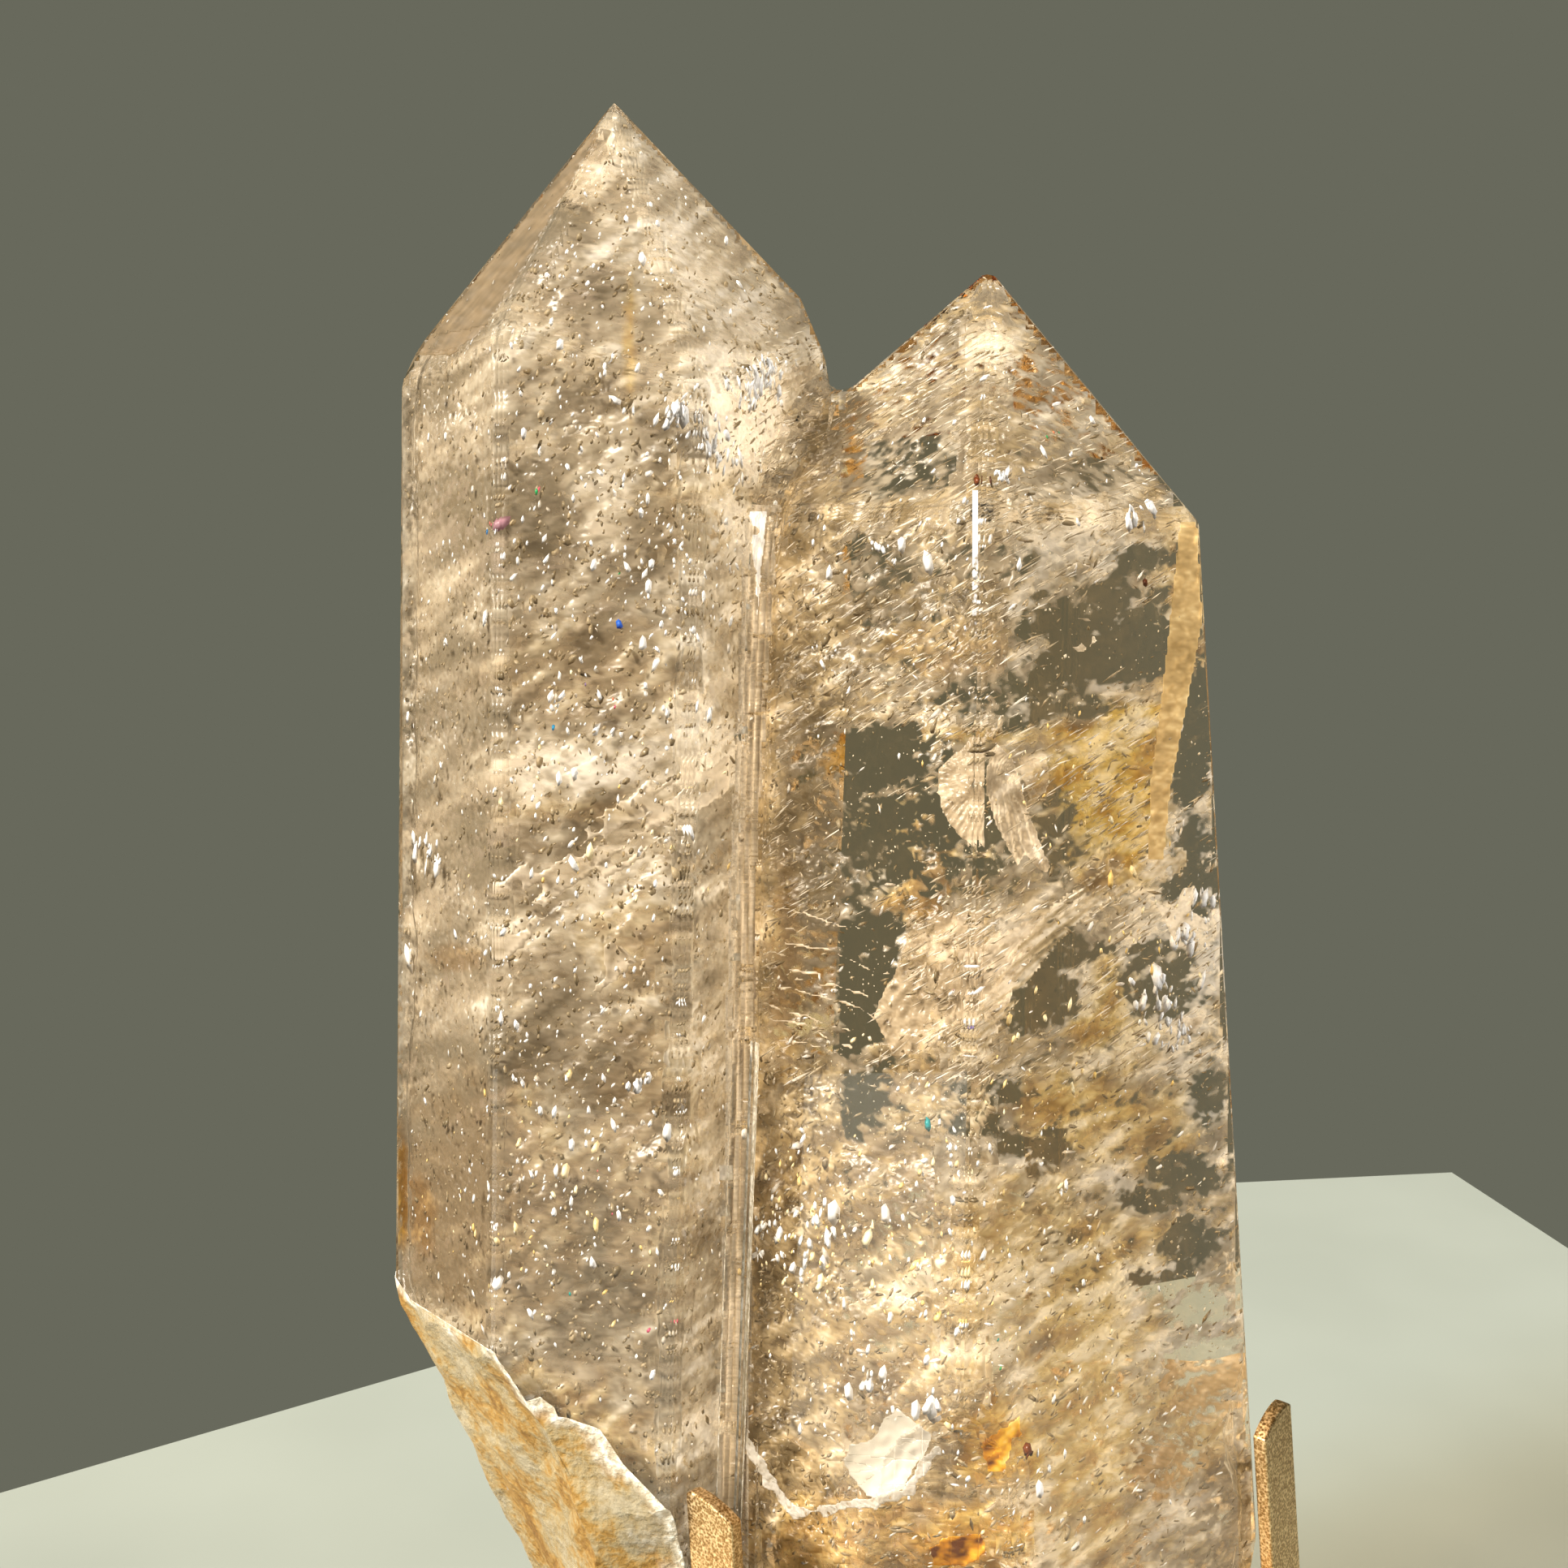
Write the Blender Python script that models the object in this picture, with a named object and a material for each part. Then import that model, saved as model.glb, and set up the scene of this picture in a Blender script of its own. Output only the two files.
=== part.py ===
"""Citrine cathedral: two polished quartz points grown together, held upright in a gold metal stand.

Blender units are metres. +Z is up, the points stand side by side along X and the front looks to -Y.
The origin is the middle of the underside of the stand's base plate. Sizes below are in millimetres.
"""

import math

import bmesh
import bpy
from mathutils import Matrix, Vector, noise

MM = 0.001

# Driving dimensions of the crystal, read from the photograph.
LEFT_APEX = Vector((-28.8, 4.0, 260.4))
LEFT_MIDDLE_Y = 4.0
LEFT_CORNER_TOP = Vector((-59.6, 4.0, 221.4))
LEFT_CORNER_LOW = Vector((-63.6, 4.0, 93.6))
LEFT_BEND = Vector((-56.9, 4.0, 226.9))
LEFT_FRONT_TOP = Vector((-41.0, -20.0, 224.4))
LEFT_EDGE_TOP = Vector((-15.6, -23.0, 216.6))
LEFT_EDGE_LOW = Vector((-19.9, -24.0, 87.4))
LEFT_INNER_SHOULDER = Vector((-2.8, 4.0, 233.8))
LEFT_INNER_SIDE = Vector((1.0, 4.0, 223.6))
VALLEY_TOP = Vector((-8.4, -12.0, 202.2))

RIGHT_APEX = Vector((23.5, -1.0, 236.4))
RIGHT_MIDDLE_Y = 0.5
RIGHT_EDGE_TOP = Vector((19.0, -32.0, 201.0))
RIGHT_EDGE_LOW = Vector((16.9, -36.0, 68.6))
RIGHT_CORNER_TOP = Vector((49.9, -14.0, 200.8))
RIGHT_CORNER_LOW = Vector((61.7, -10.0, 74.2))
RIGHT_CORNER_BACK = Vector((50.7, 14.0, 200.8))
RIGHT_INNER_TOP = Vector((-3.0, -15.0, 201.9))
RIGHT_INNER_SLOPE = Vector((8.0, -1.0, 223.1))
BLUNT_TIP_Z = 235.4

CRYSTAL_BOTTOM_Z = 4.3
EDGE_DEPTH = 0.16
SHORTEST_POLISHED = 12.0
FACET_BLOCK = 700.0

# Driving dimensions of the striated groove where the two points meet.
GROOVE_RADIUS = 2.2
GROOVE_OFFSET = 0.8
GROOVE_REACH = 2.4
SADDLE_REACH = 6.0
SADDLE_Z = 218.5
SADDLE_STATIONS = 9
GROOVE_STRIAE = 32
STRIA_DEPTH = 0.11
VALLEY_HEIGHTS = (-8.0, 60.0, 130.0)
BELOW_SADDLE = 8.0
FILLER_DEPTH = 1.5
FILLER_SINK = 0.25
FLANK_BLEND = 6.0

# Driving dimensions of the natural, unpolished root.
ROOT_CELL = 3.6
ROOT_RELIEF = 1.1
ROOT_LEDGE = 0.7
ROOT_WIDE_HILLS = 17.0
ROOT_SMALL_HILLS = 6.0
ROOT_LEDGE_SPACING = 24.0
ROOT_SLAB = 45.0

# Driving dimensions of the stand.
BASE_LENGTH = 150.0
BASE_DEPTH = 90.0
BASE_HEIGHT = 4.0
BASE_CORNER = 12.0
BASE_EDGE = 0.6
PRONG_WIDTH = 8.2
PRONG_THICKNESS = 2.0
PRONG_EDGE = 0.25
TIP_POINTS = 9
TIP_CORNER = 0.55
FRONT_TIP_FALL = 2.0
SIDE_TIP_FALL = 3.0

# Each prong: middle of its foot, middle of its top, the way its broad face looks in degrees from the
# front towards +X, and how far its rounded tip drops, to its left if negative.
PRONGS = {
    "prong_front": (Vector((-10.8, -19.4, 4.3)), Vector((-13.9, -23.3, 71.0)), -40.0, FRONT_TIP_FALL),
    "prong_right": (Vector((70.4, -8.1, 4.3)), Vector((64.4, -7.8, 75.2)), 46.0, -SIDE_TIP_FALL),
    "prong_back": (Vector((-9.6, 23.5, 4.3)), Vector((-9.6, 25.1, 52.0)), 200.0, SIDE_TIP_FALL),
    "prong_left": (Vector((-23.9, -4.5, 4.3)), Vector((-37.9, -10.5, 38.0)), -55.0, SIDE_TIP_FALL),
}


def clear_scene():
    for obj in list(bpy.data.objects):
        bpy.data.objects.remove(obj, do_unlink=True)


def material(name, rgb, roughness, metallic, transmission=0.0, ior=1.45):
    """A Principled material; rgb is linear."""
    made = bpy.data.materials.new(name)
    made.use_nodes = True
    shader = made.node_tree.nodes["Principled BSDF"]
    shader.inputs["Base Color"].default_value = (*rgb, 1.0)
    shader.inputs["Roughness"].default_value = roughness
    shader.inputs["Metallic"].default_value = metallic
    shader.inputs["Transmission Weight"].default_value = transmission
    shader.inputs["IOR"].default_value = ior
    made.diffuse_color = (*rgb, 1.0)
    return made


def object_of(bm, name, made=None):
    """Scales a mesh built in millimetres to metres and makes it an object."""
    bmesh.ops.scale(bm, vec=(MM, MM, MM), verts=bm.verts)
    bmesh.ops.recalc_face_normals(bm, faces=bm.faces)
    mesh = bpy.data.meshes.new(name)
    bm.to_mesh(mesh)
    bm.free()
    obj = bpy.data.objects.new(name, mesh)
    bpy.context.scene.collection.objects.link(obj)
    if made:
        mesh.materials.append(made)
    return obj


def helper_of(bm, name):
    """An object that only cuts or joins others."""
    obj = object_of(bm, name)
    obj.hide_render = True
    obj.display_type = "WIRE"
    return obj


def combine(target, other, operation):
    """Adds an exact Boolean of a helper to the target."""
    change = target.modifiers.new(other.name, "BOOLEAN")
    change.operation = operation
    change.solver = "EXACT"
    change.object = other


class Plane:
    """A flat facet: a point on it and its normal, pointing out of the solid."""

    def __init__(self, point, normal):
        self.point = point.copy()
        self.normal = normal.normalized()

    @staticmethod
    def through(a, b, c, inside):
        normal = (b - a).cross(c - a).normalized()
        if normal.dot(inside - a) > 0:
            normal = -normal
        return Plane(a, normal)

    def mirrored(self, middle_y):
        point = self.point.copy()
        point.y = 2 * middle_y - point.y
        normal = self.normal.copy()
        normal.y = -normal.y
        return Plane(point, normal)


def meeting_point(first, second, third):
    """The point that three planes share."""
    rows = Matrix((first.normal, second.normal, third.normal))
    sides = Vector([plane.point.dot(plane.normal) for plane in (first, second, third)])
    return rows.inverted() @ sides


def at_height(z):
    return Plane(Vector((0, 0, z)), Vector((0, 0, 1)))


def cut_facet(bm, plane):
    """Grinds one flat face: everything outside the plane goes, and the cut is closed."""
    geometry = bm.verts[:] + bm.edges[:] + bm.faces[:]
    cut = bmesh.ops.bisect_plane(
        bm,
        geom=geometry,
        dist=0.0005,
        plane_co=plane.point,
        plane_no=plane.normal,
        clear_outer=True,
    )
    rim = [item for item in cut["geom_cut"] if isinstance(item, bmesh.types.BMEdge)]
    if rim:
        bmesh.ops.contextual_create(bm, geom=rim)


def edge_planes(bm):
    """A narrow facet for each long edge, where the polishing wheel took the sharpness off."""
    bm.normal_update()
    planes = []
    for edge in bm.edges:
        if edge.calc_length() < SHORTEST_POLISHED or len(edge.link_faces) != 2:
            continue
        normal = (edge.link_faces[0].normal + edge.link_faces[1].normal).normalized()
        middle = (edge.verts[0].co + edge.verts[1].co) / 2
        planes.append(Plane(middle - normal * EDGE_DEPTH, normal))
    return planes


def faceted_point(planes, last_cuts):
    """A block ground to its facets, with narrow polished edges, then cut off plain."""
    bm = bmesh.new()
    bmesh.ops.create_cube(bm, size=FACET_BLOCK)
    for plane in planes:
        cut_facet(bm, plane)
    for plane in edge_planes(bm) + last_cuts:
        cut_facet(bm, plane)
    return bm


def left_planes():
    """The taller point: a hexagonal prism under six steep faces."""
    inside = Vector((-28.0, LEFT_MIDDLE_Y, 120.0))
    front = [
        Plane.through(LEFT_FRONT_TOP, LEFT_CORNER_TOP, LEFT_CORNER_LOW, inside),
        Plane.through(LEFT_FRONT_TOP, LEFT_EDGE_TOP, LEFT_EDGE_LOW, inside),
        Plane.through(LEFT_EDGE_TOP, LEFT_EDGE_LOW, VALLEY_TOP, inside),
        Plane.through(LEFT_APEX, LEFT_BEND, LEFT_FRONT_TOP, inside),
        Plane.through(LEFT_BEND, LEFT_CORNER_TOP, LEFT_FRONT_TOP, inside),
        Plane.through(LEFT_APEX, LEFT_FRONT_TOP, LEFT_EDGE_TOP, inside),
        Plane.through(LEFT_APEX, LEFT_EDGE_TOP, LEFT_INNER_SHOULDER, inside),
    ]
    back = [plane.mirrored(LEFT_MIDDLE_Y) for plane in front]
    beyond = LEFT_INNER_SIDE + Vector((0, 10, 0))
    inner = Plane.through(LEFT_INNER_SHOULDER, LEFT_INNER_SIDE, beyond, inside)
    return {"side": front[2], "back_side": back[2], "inner": inner, "all": front + back + [inner]}


def right_planes():
    """The shorter point, turned so that an edge faces the front."""
    inside = Vector((20.0, RIGHT_MIDDLE_Y, 120.0))
    front = [
        Plane.through(RIGHT_EDGE_TOP, RIGHT_EDGE_LOW, RIGHT_INNER_TOP, inside),
        Plane.through(RIGHT_EDGE_TOP, RIGHT_EDGE_LOW, RIGHT_CORNER_TOP, inside),
        Plane.through(RIGHT_APEX, RIGHT_EDGE_TOP, RIGHT_INNER_TOP, inside),
        Plane.through(RIGHT_APEX, RIGHT_EDGE_TOP, RIGHT_CORNER_TOP, inside),
    ]
    back = [plane.mirrored(RIGHT_MIDDLE_Y) for plane in front]
    across = Vector((0, 10, 0))
    others = [
        Plane.through(RIGHT_CORNER_TOP, RIGHT_CORNER_LOW, RIGHT_CORNER_BACK, inside),
        Plane.through(RIGHT_APEX, RIGHT_CORNER_TOP, RIGHT_CORNER_BACK, inside),
        Plane.through(RIGHT_APEX, RIGHT_INNER_SLOPE, RIGHT_INNER_SLOPE + across, inside),
    ]
    planes = front + back + others
    return {"face": front[0], "top": front[2], "back_face": back[0], "back_top": back[2],
            "slope": others[2], "all": planes}


def bottom_plane():
    return Plane(Vector((0, 0, CRYSTAL_BOTTOM_Z)), Vector((0, 0, -1)))


def smooth_path(points, steps):
    """Points on a Catmull-Rom curve through the given ones."""
    ends = [points[0] * 2 - points[1]] + points + [points[-1] * 2 - points[-2]]
    path = []
    for i in range(1, len(ends) - 2):
        a, b, c, d = ends[i - 1 : i + 3]
        for step in range(steps):
            t = step / steps
            path.append(
                0.5 * (2 * b + (c - a) * t + (2 * a - 5 * b + 4 * c - d) * t**2
                       + (3 * b - a - 3 * c + d) * t**3)
            )
    path.append(points[-1].copy())
    return path


def valley_side(left, y):
    """The flank of the taller point that the valley runs along at this depth."""
    return left["side"] if y < LEFT_MIDDLE_Y else left["back_side"]


def plane_value(plane, axis, point):
    """Where the plane lies along one axis through the point."""
    gap = plane.normal.dot(plane.point - point)
    return point[axis] + gap / plane.normal[axis]


def upper_valley(left, right, y):
    """The sharp corner between the taller point's flank and the shorter point's top, and both normals."""
    place = Vector((0.0, y, 215.0))
    side = valley_side(left, y)
    for _ in range(30):
        place.x = min(plane_value(side, 0, place), plane_value(left["inner"], 0, place))
        tops = (right["top"], right["back_top"], right["slope"])
        top = min(tops, key=lambda plane: plane_value(plane, 2, place))
        place.z = plane_value(top, 2, place)
    weight = min(1.0, max(0.0, (y - LEFT_MIDDLE_Y) / FLANK_BLEND + 0.5))
    flank = left["side"].normal.lerp(left["back_side"].normal, weight).normalized()
    return place, flank, top.normal


def corner_frame(flank, top):
    """Directions up each face from their shared corner, the way between them and half their angle."""
    along = flank.cross(top).normalized()
    up_flank = along.cross(flank)
    up_top = along.cross(top)
    up_flank = up_flank if up_flank.dot(top) > 0 else -up_flank
    up_top = up_top if up_top.dot(flank) > 0 else -up_top
    between = (up_flank + up_top).normalized()
    return up_flank, up_top, between, 0.5 * up_flank.angle(up_top)


def saddle_stations(left, right, front_y, back_y, low_z):
    """Places along the upper valley with the length that its fillet reaches up each face."""
    stations = []
    for i in range(SADDLE_STATIONS):
        share = i / (SADDLE_STATIONS - 1)
        place, flank, top = upper_valley(left, right, front_y * (1 - share) + back_y * share)
        rise = min(1.0, max(0.0, (place.z - low_z) / (SADDLE_Z - low_z)))
        reach = GROOVE_REACH + (SADDLE_REACH - GROOVE_REACH) * rise
        stations.append((place, flank, top, reach))
    return stations


def swept(rings):
    """A closed tube through rings of points."""
    bm = bmesh.new()
    loops = []
    for ring in rings:
        verts = [bm.verts.new(point) for point in ring]
        loops.append([bm.edges.new((verts[k], verts[(k + 1) % len(verts)])) for k in range(len(verts))])
    for lower, upper in zip(loops, loops[1:]):
        bmesh.ops.bridge_loops(bm, edges=lower + upper)
    for ends in (loops[0], loops[-1]):
        bmesh.ops.contextual_create(bm, geom=ends)
    return bm


def saddle_filler(stations):
    """The rock left in the sharp corner under the rounded notch."""
    rings = []
    for place, flank, top, reach in stations:
        up_flank, up_top, between, _ = corner_frame(flank, top)
        rings.append([
            place - between * FILLER_DEPTH,
            place + up_flank * reach - flank * FILLER_SINK,
            place + up_top * reach - top * FILLER_SINK,
        ])
    return helper_of(swept(rings), "saddle_filler")


def groove_cutter(left, right, stations):
    """A long fluted tool that runs up the front valley, over the saddle and down the back."""
    def valley(side, face, z):
        corner = meeting_point(side, face, at_height(z))
        return corner + (side.normal + face.normal).normalized() * GROOVE_OFFSET, GROOVE_RADIUS

    over = []
    for place, flank, top, reach in stations[1:-1]:
        _, _, between, half = corner_frame(flank, top)
        radius = reach * math.tan(half)
        over.append((place + between * (radius / math.sin(half)), radius))
    heights = VALLEY_HEIGHTS + (stations[0][0].z - BELOW_SADDLE,)
    front = [valley(left["side"], right["face"], z) for z in heights]
    back = [valley(left["back_side"], right["back_face"], z) for z in reversed(heights)]
    centres = front + over + back
    steps = 3
    path = smooth_path([centre for centre, _ in centres], steps)
    rings = []
    across = Vector((1, 0, 0))
    for i, centre in enumerate(path):
        along = (path[min(i + 1, len(path) - 1)] - path[max(i - 1, 0)]).normalized()
        across = (across - along * across.dot(along)).normalized()
        other = along.cross(across)
        low = min(i // steps, len(centres) - 2)
        share = i / steps - low
        radius = centres[low][1] * (1 - share) + centres[low + 1][1] * share
        ring = []
        for k in range(GROOVE_STRIAE):
            angle = 2 * math.pi * k / GROOVE_STRIAE
            flute = STRIA_DEPTH * math.cos(math.pi * k) * (0.6 + 0.4 * math.sin(2.3 * k))
            reach = radius + flute
            ring.append(centre + (across * math.cos(angle) + other * math.sin(angle)) * reach)
        rings.append(ring)
    return helper_of(swept(rings), "groove_cutter")


def root_cutter(name, plane, width, height, relief, seed):
    """A slab whose inner face is broken rock: low hills and a few stepped ledges."""
    across = Vector((0, 0, 1)).cross(plane.normal).normalized()
    up = plane.normal.cross(across)
    columns = int(width / ROOT_CELL)
    rows = int(height / ROOT_CELL)
    bm = bmesh.new()
    bmesh.ops.create_grid(bm, x_segments=columns, y_segments=rows, size=0.5)
    for vert in bm.verts:
        u = vert.co.x * width
        v = vert.co.y * height
        place = Vector((u, v, 7.0 * seed))
        hills = noise.noise(place / ROOT_WIDE_HILLS) * 1.6 + noise.noise(place / ROOT_SMALL_HILLS) * 0.6
        steps = round(noise.noise(place / ROOT_LEDGE_SPACING + Vector((3, 1, 2))) * 4.0) * ROOT_LEDGE
        vert.co = plane.point + across * u + up * v + plane.normal * (hills + steps) * relief
    outward = bmesh.ops.extrude_face_region(bm, geom=bm.faces[:])
    moved = [item for item in outward["geom"] if isinstance(item, bmesh.types.BMVert)]
    bmesh.ops.translate(bm, verts=moved, vec=plane.normal * ROOT_SLAB)
    return helper_of(bm, name)


def root_planes():
    """Where the polish stops and the natural root falls away, front and back."""
    inside = Vector((-20.0, 4.0, 120.0))
    outer = Plane.through(
        Vector((-62.6, 4.0, 90.0)), Vector((-44.9, -22.0, 92.0)), Vector((-50.4, 4.0, 60.6)), inside)
    front = Plane.through(
        Vector((-44.9, -22.5, 91.0)), Vector((-19.8, -24.5, 78.5)), Vector((-31.0, -16.0, 48.5)), inside)
    lower = Plane.through(
        Vector((-9.0, -15.6, 71.0)), Vector((12.5, -32.4, 80.0)), Vector((0.5, -20.6, 40.0)), inside)
    end = Plane(Vector((61.5, 2.0, 40.0)), Vector((0.98, -0.06, -0.17)))
    outer_back = outer.mirrored(LEFT_MIDDLE_Y)
    front_back = front.mirrored(LEFT_MIDDLE_Y)
    return [
        ("root_outer", outer, Vector((-49.0, -8.0, 65.0)), 90.0, 170.0, 1.0, 1),
        ("root_front", front, Vector((-18.0, -16.0, 40.0)), 110.0, 160.0, 1.0, 2),
        ("root_outer_back", outer_back, Vector((-49.0, 16.0, 65.0)), 90.0, 170.0, 1.0, 3),
        ("root_front_back", front_back, Vector((-18.0, 24.0, 40.0)), 110.0, 160.0, 1.0, 4),
        ("root_lower", lower, Vector((5.0, -26.0, 40.0)), 34.0, 110.0, 0.3, 5),
        ("root_end", end, Vector((58.0, 2.0, 30.0)), 100.0, 100.0, 0.5, 6),
    ]


def crystal(made):
    left = left_planes()
    right = right_planes()
    blunt = Plane(Vector((RIGHT_APEX.x, 0, BLUNT_TIP_Z)), Vector((0.2, 0, 1)))
    solid = object_of(faceted_point(left["all"], [bottom_plane()]), "crystal", made)
    other = faceted_point(right["all"], [bottom_plane(), blunt])
    combine(solid, helper_of(other, "right_point"), "UNION")
    front_top = meeting_point(left["side"], right["face"], right["top"])
    back_top = meeting_point(left["back_side"], right["back_face"], right["back_top"])
    low_z = min(front_top.z, back_top.z)
    stations = saddle_stations(left, right, front_top.y, back_top.y, low_z)
    combine(solid, saddle_filler(stations), "UNION")
    combine(solid, groove_cutter(left, right, stations), "DIFFERENCE")
    for name, plane, near, width, height, relief, seed in root_planes():
        plane.point = near + plane.normal * plane.normal.dot(plane.point - near)
        cutter = root_cutter(name, plane, width, height, relief * ROOT_RELIEF, seed)
        combine(solid, cutter, "DIFFERENCE")
    return solid


def base_plate(made):
    """A flat plate with rounded corners."""
    bm = bmesh.new()
    bmesh.ops.create_cube(bm, size=1.0)
    bmesh.ops.scale(bm, vec=(BASE_LENGTH, BASE_DEPTH, BASE_HEIGHT), verts=bm.verts)
    bmesh.ops.translate(bm, vec=(0, 0, BASE_HEIGHT / 2), verts=bm.verts)
    upright = [e for e in bm.edges if abs(e.verts[0].co.z - e.verts[1].co.z) > BASE_HEIGHT / 2]
    bmesh.ops.bevel(bm, geom=upright, offset=BASE_CORNER, offset_type="OFFSET", affect="EDGES",
                    segments=10, profile=0.5, material=-1)
    rim = [e for e in bm.edges if min(v.co.z for v in e.verts) > BASE_HEIGHT - 0.001]
    bmesh.ops.bevel(bm, geom=rim, offset=BASE_EDGE, offset_type="OFFSET", affect="EDGES",
                    segments=2, profile=0.5, material=-1)
    return object_of(bm, "stand_base", made)


def prong(name, made, foot, top, turn, tip_fall):
    """A flat bar that leans from foot to top, with a rounded tip."""
    low_side = math.copysign(1.0, tip_fall)
    turn = math.radians(turn)
    outward = Vector((math.sin(turn), -math.cos(turn), 0))
    across = Vector((math.cos(turn), math.sin(turn), 0))
    half = PRONG_WIDTH / 2
    height = top.z - foot.z
    outline = [(-half, 0.0), (half, 0.0)]
    for i in range(TIP_POINTS):
        share = i / (TIP_POINTS - 1)
        fall = abs(tip_fall) * (1 - share) ** 2.2
        corner = TIP_CORNER * max(0.0, (share - 0.82) / 0.18) ** 2
        outline.append((half - 2 * half * share, height - fall - corner))
    bm = bmesh.new()
    face = bm.faces.new([bm.verts.new((u * low_side, h, 0)) for u, h in outline])
    thick = bmesh.ops.extrude_face_region(bm, geom=[face])
    moved = [item for item in thick["geom"] if isinstance(item, bmesh.types.BMVert)]
    bmesh.ops.translate(bm, verts=moved, vec=(0, 0, PRONG_THICKNESS))
    bmesh.ops.recalc_face_normals(bm, faces=bm.faces)
    sharp = [e for e in bm.edges if e.calc_face_angle(0.0) > math.radians(40)]
    bmesh.ops.bevel(bm, geom=sharp, offset=PRONG_EDGE, offset_type="OFFSET", affect="EDGES",
                    segments=2, profile=0.5, material=-1)
    lean = (top - foot) / height
    for vert in bm.verts:
        u, h, t = vert.co
        vert.co = foot + lean * h + across * u + outward * t
    return object_of(bm, name, made)


def build():
    clear_scene()
    citrine = material("citrine", (0.72, 0.56, 0.33), 0.03, 0.0, 1.0, 1.544)
    gold = material("gold_coating", (0.72, 0.46, 0.19), 0.38, 1.0)
    crystal(citrine)
    base_plate(gold)
    for name, (foot, top, turn, tip_fall) in PRONGS.items():
        prong(name, gold, foot, top, turn, tip_fall)


build()
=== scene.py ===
# %% [markdown]
# # A citrine cathedral: two polished quartz points on a gold stand
#
# The crystal's facets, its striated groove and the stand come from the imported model. This lesson
# adds what a mesh of the outside can't hold: clear warm quartz, the milky veils and flakes inside it,
# iron stains, the unpolished skin of its root and the grain of the gold coating.

import math

import bmesh
import bpy
import numpy as np
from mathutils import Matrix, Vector, noise
from mathutils.bvhtree import BVHTree
from mathutils.kdtree import KDTree


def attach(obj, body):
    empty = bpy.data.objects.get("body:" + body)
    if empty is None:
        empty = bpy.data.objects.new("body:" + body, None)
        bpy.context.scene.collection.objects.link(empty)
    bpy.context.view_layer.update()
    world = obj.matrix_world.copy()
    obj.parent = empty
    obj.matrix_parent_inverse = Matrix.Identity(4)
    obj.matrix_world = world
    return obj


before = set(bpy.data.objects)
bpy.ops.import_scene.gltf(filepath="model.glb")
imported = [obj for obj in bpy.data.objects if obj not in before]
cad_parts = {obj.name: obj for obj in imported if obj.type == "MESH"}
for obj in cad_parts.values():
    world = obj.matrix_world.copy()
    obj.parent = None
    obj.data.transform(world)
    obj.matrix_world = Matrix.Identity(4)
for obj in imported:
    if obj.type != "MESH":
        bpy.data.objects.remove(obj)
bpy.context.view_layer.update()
MM = 0.001
rng = np.random.default_rng(23)
print("nodes:", sorted(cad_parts))


# %% [markdown]
# ## Colours and nodes
# Colours are picked as sRGB hex values, the way a paint chart gives them, and one function turns
# them to the linear numbers that a shader multiplies light with. A second small function adds a
# node with its settings and links, so that a material reads from top to bottom.

# %% Colour and node helpers
def colour(code):
    """An sRGB hex value as linear red, green, blue and an alpha of 1."""
    parts = [int(code[k : k + 2], 16) / 255 for k in (1, 3, 5)]
    return (*(c / 12.92 if c <= 0.04045 else ((c + 0.055) / 1.055) ** 2.4 for c in parts), 1.0)


def add(tree, kind, inputs=None, stops=(), **settings):
    """Adds a node. An input may be a number, a tuple or a node's output; stops fill a colour ramp."""
    made = tree.nodes.new("ShaderNode" + kind)
    for name, value in settings.items():
        setattr(made, name, value)
    for key, value in (inputs or {}).items():
        if isinstance(value, bpy.types.NodeSocket):
            tree.links.new(value, made.inputs[key])
        else:
            made.inputs[key].default_value = value
    for k, (place, code) in enumerate(stops):
        band = made.color_ramp.elements
        element = band[k] if k < len(band) else band.new(place)
        element.position = place
        element.color = colour(code)
    return made


def new_material(name):
    made = bpy.data.materials.new(name)
    made.use_nodes = True
    made.node_tree.nodes.clear()
    return made, made.node_tree


def finish_material(tree, shader, volume=None):
    out = add(tree, "OutputMaterial", {"Surface": shader})
    if volume is not None:
        tree.links.new(volume, out.inputs["Volume"])


def per_metre(size_mm):
    """The scale that gives a pattern cells of this size, with coordinates in metres."""
    return 1000.0 / size_mm


print("warm cream in linear light:", [round(c, 2) for c in colour("#F4E2BC")])


# %% [markdown]
# ## The camera
# The photograph was taken from close up, level with the upper part of the crystal and looking
# slightly down. The camera stands where the facet edges fall on their places in the picture.

# %% Camera
EYE = (-5.0, -218.0, 186.0)  # millimetres
PITCH = 5.6  # degrees below level
LENS = 35.0  # millimetres, as is the sensor's width
SENSOR = 36.0
PICTURE = 1932  # picture points each way
FOCAL = LENS / SENSOR * PICTURE  # the lens in picture points


def into_scene(name, data):
    """Makes an object of a mesh, lamp or camera and puts it in the scene."""
    made = bpy.data.objects.new(name, data)
    bpy.context.scene.collection.objects.link(made)
    return made


camera_data = bpy.data.cameras.new("camera")
camera_data.lens = LENS
camera_data.sensor_width = SENSOR
camera_data.clip_start = 0.01
camera = into_scene("camera", camera_data)
camera.location = Vector(EYE) * MM
camera.rotation_euler = (math.pi / 2 - math.radians(PITCH), 0.0, 0.0)
bpy.context.scene.camera = camera
print("camera at", EYE, "mm, looking", PITCH, "degrees down")


# %% [markdown]
# ## Seeing into the crystal
# Quartz bends light, so a flake inside isn't where it seems to be. To place one where the picture
# shows it, a line of sight is followed from the camera to the facet, bent there by Snell's law and
# followed on inside. The crystal's own mesh gives the facet that it meets. The same lines from
# other sides fill the parts that the picture doesn't show.

# %% Lines of sight
QUARTZ_IOR = 1.544
JUST_INSIDE = 1e-5  # metres past the entry, so that a ray doesn't meet the same facet again
body = bpy.data.objects["crystal"]
shell = BVHTree.FromPolygons([v.co.copy() for v in body.data.vertices],
                             [tuple(p.vertices) for p in body.data.polygons])


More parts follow.
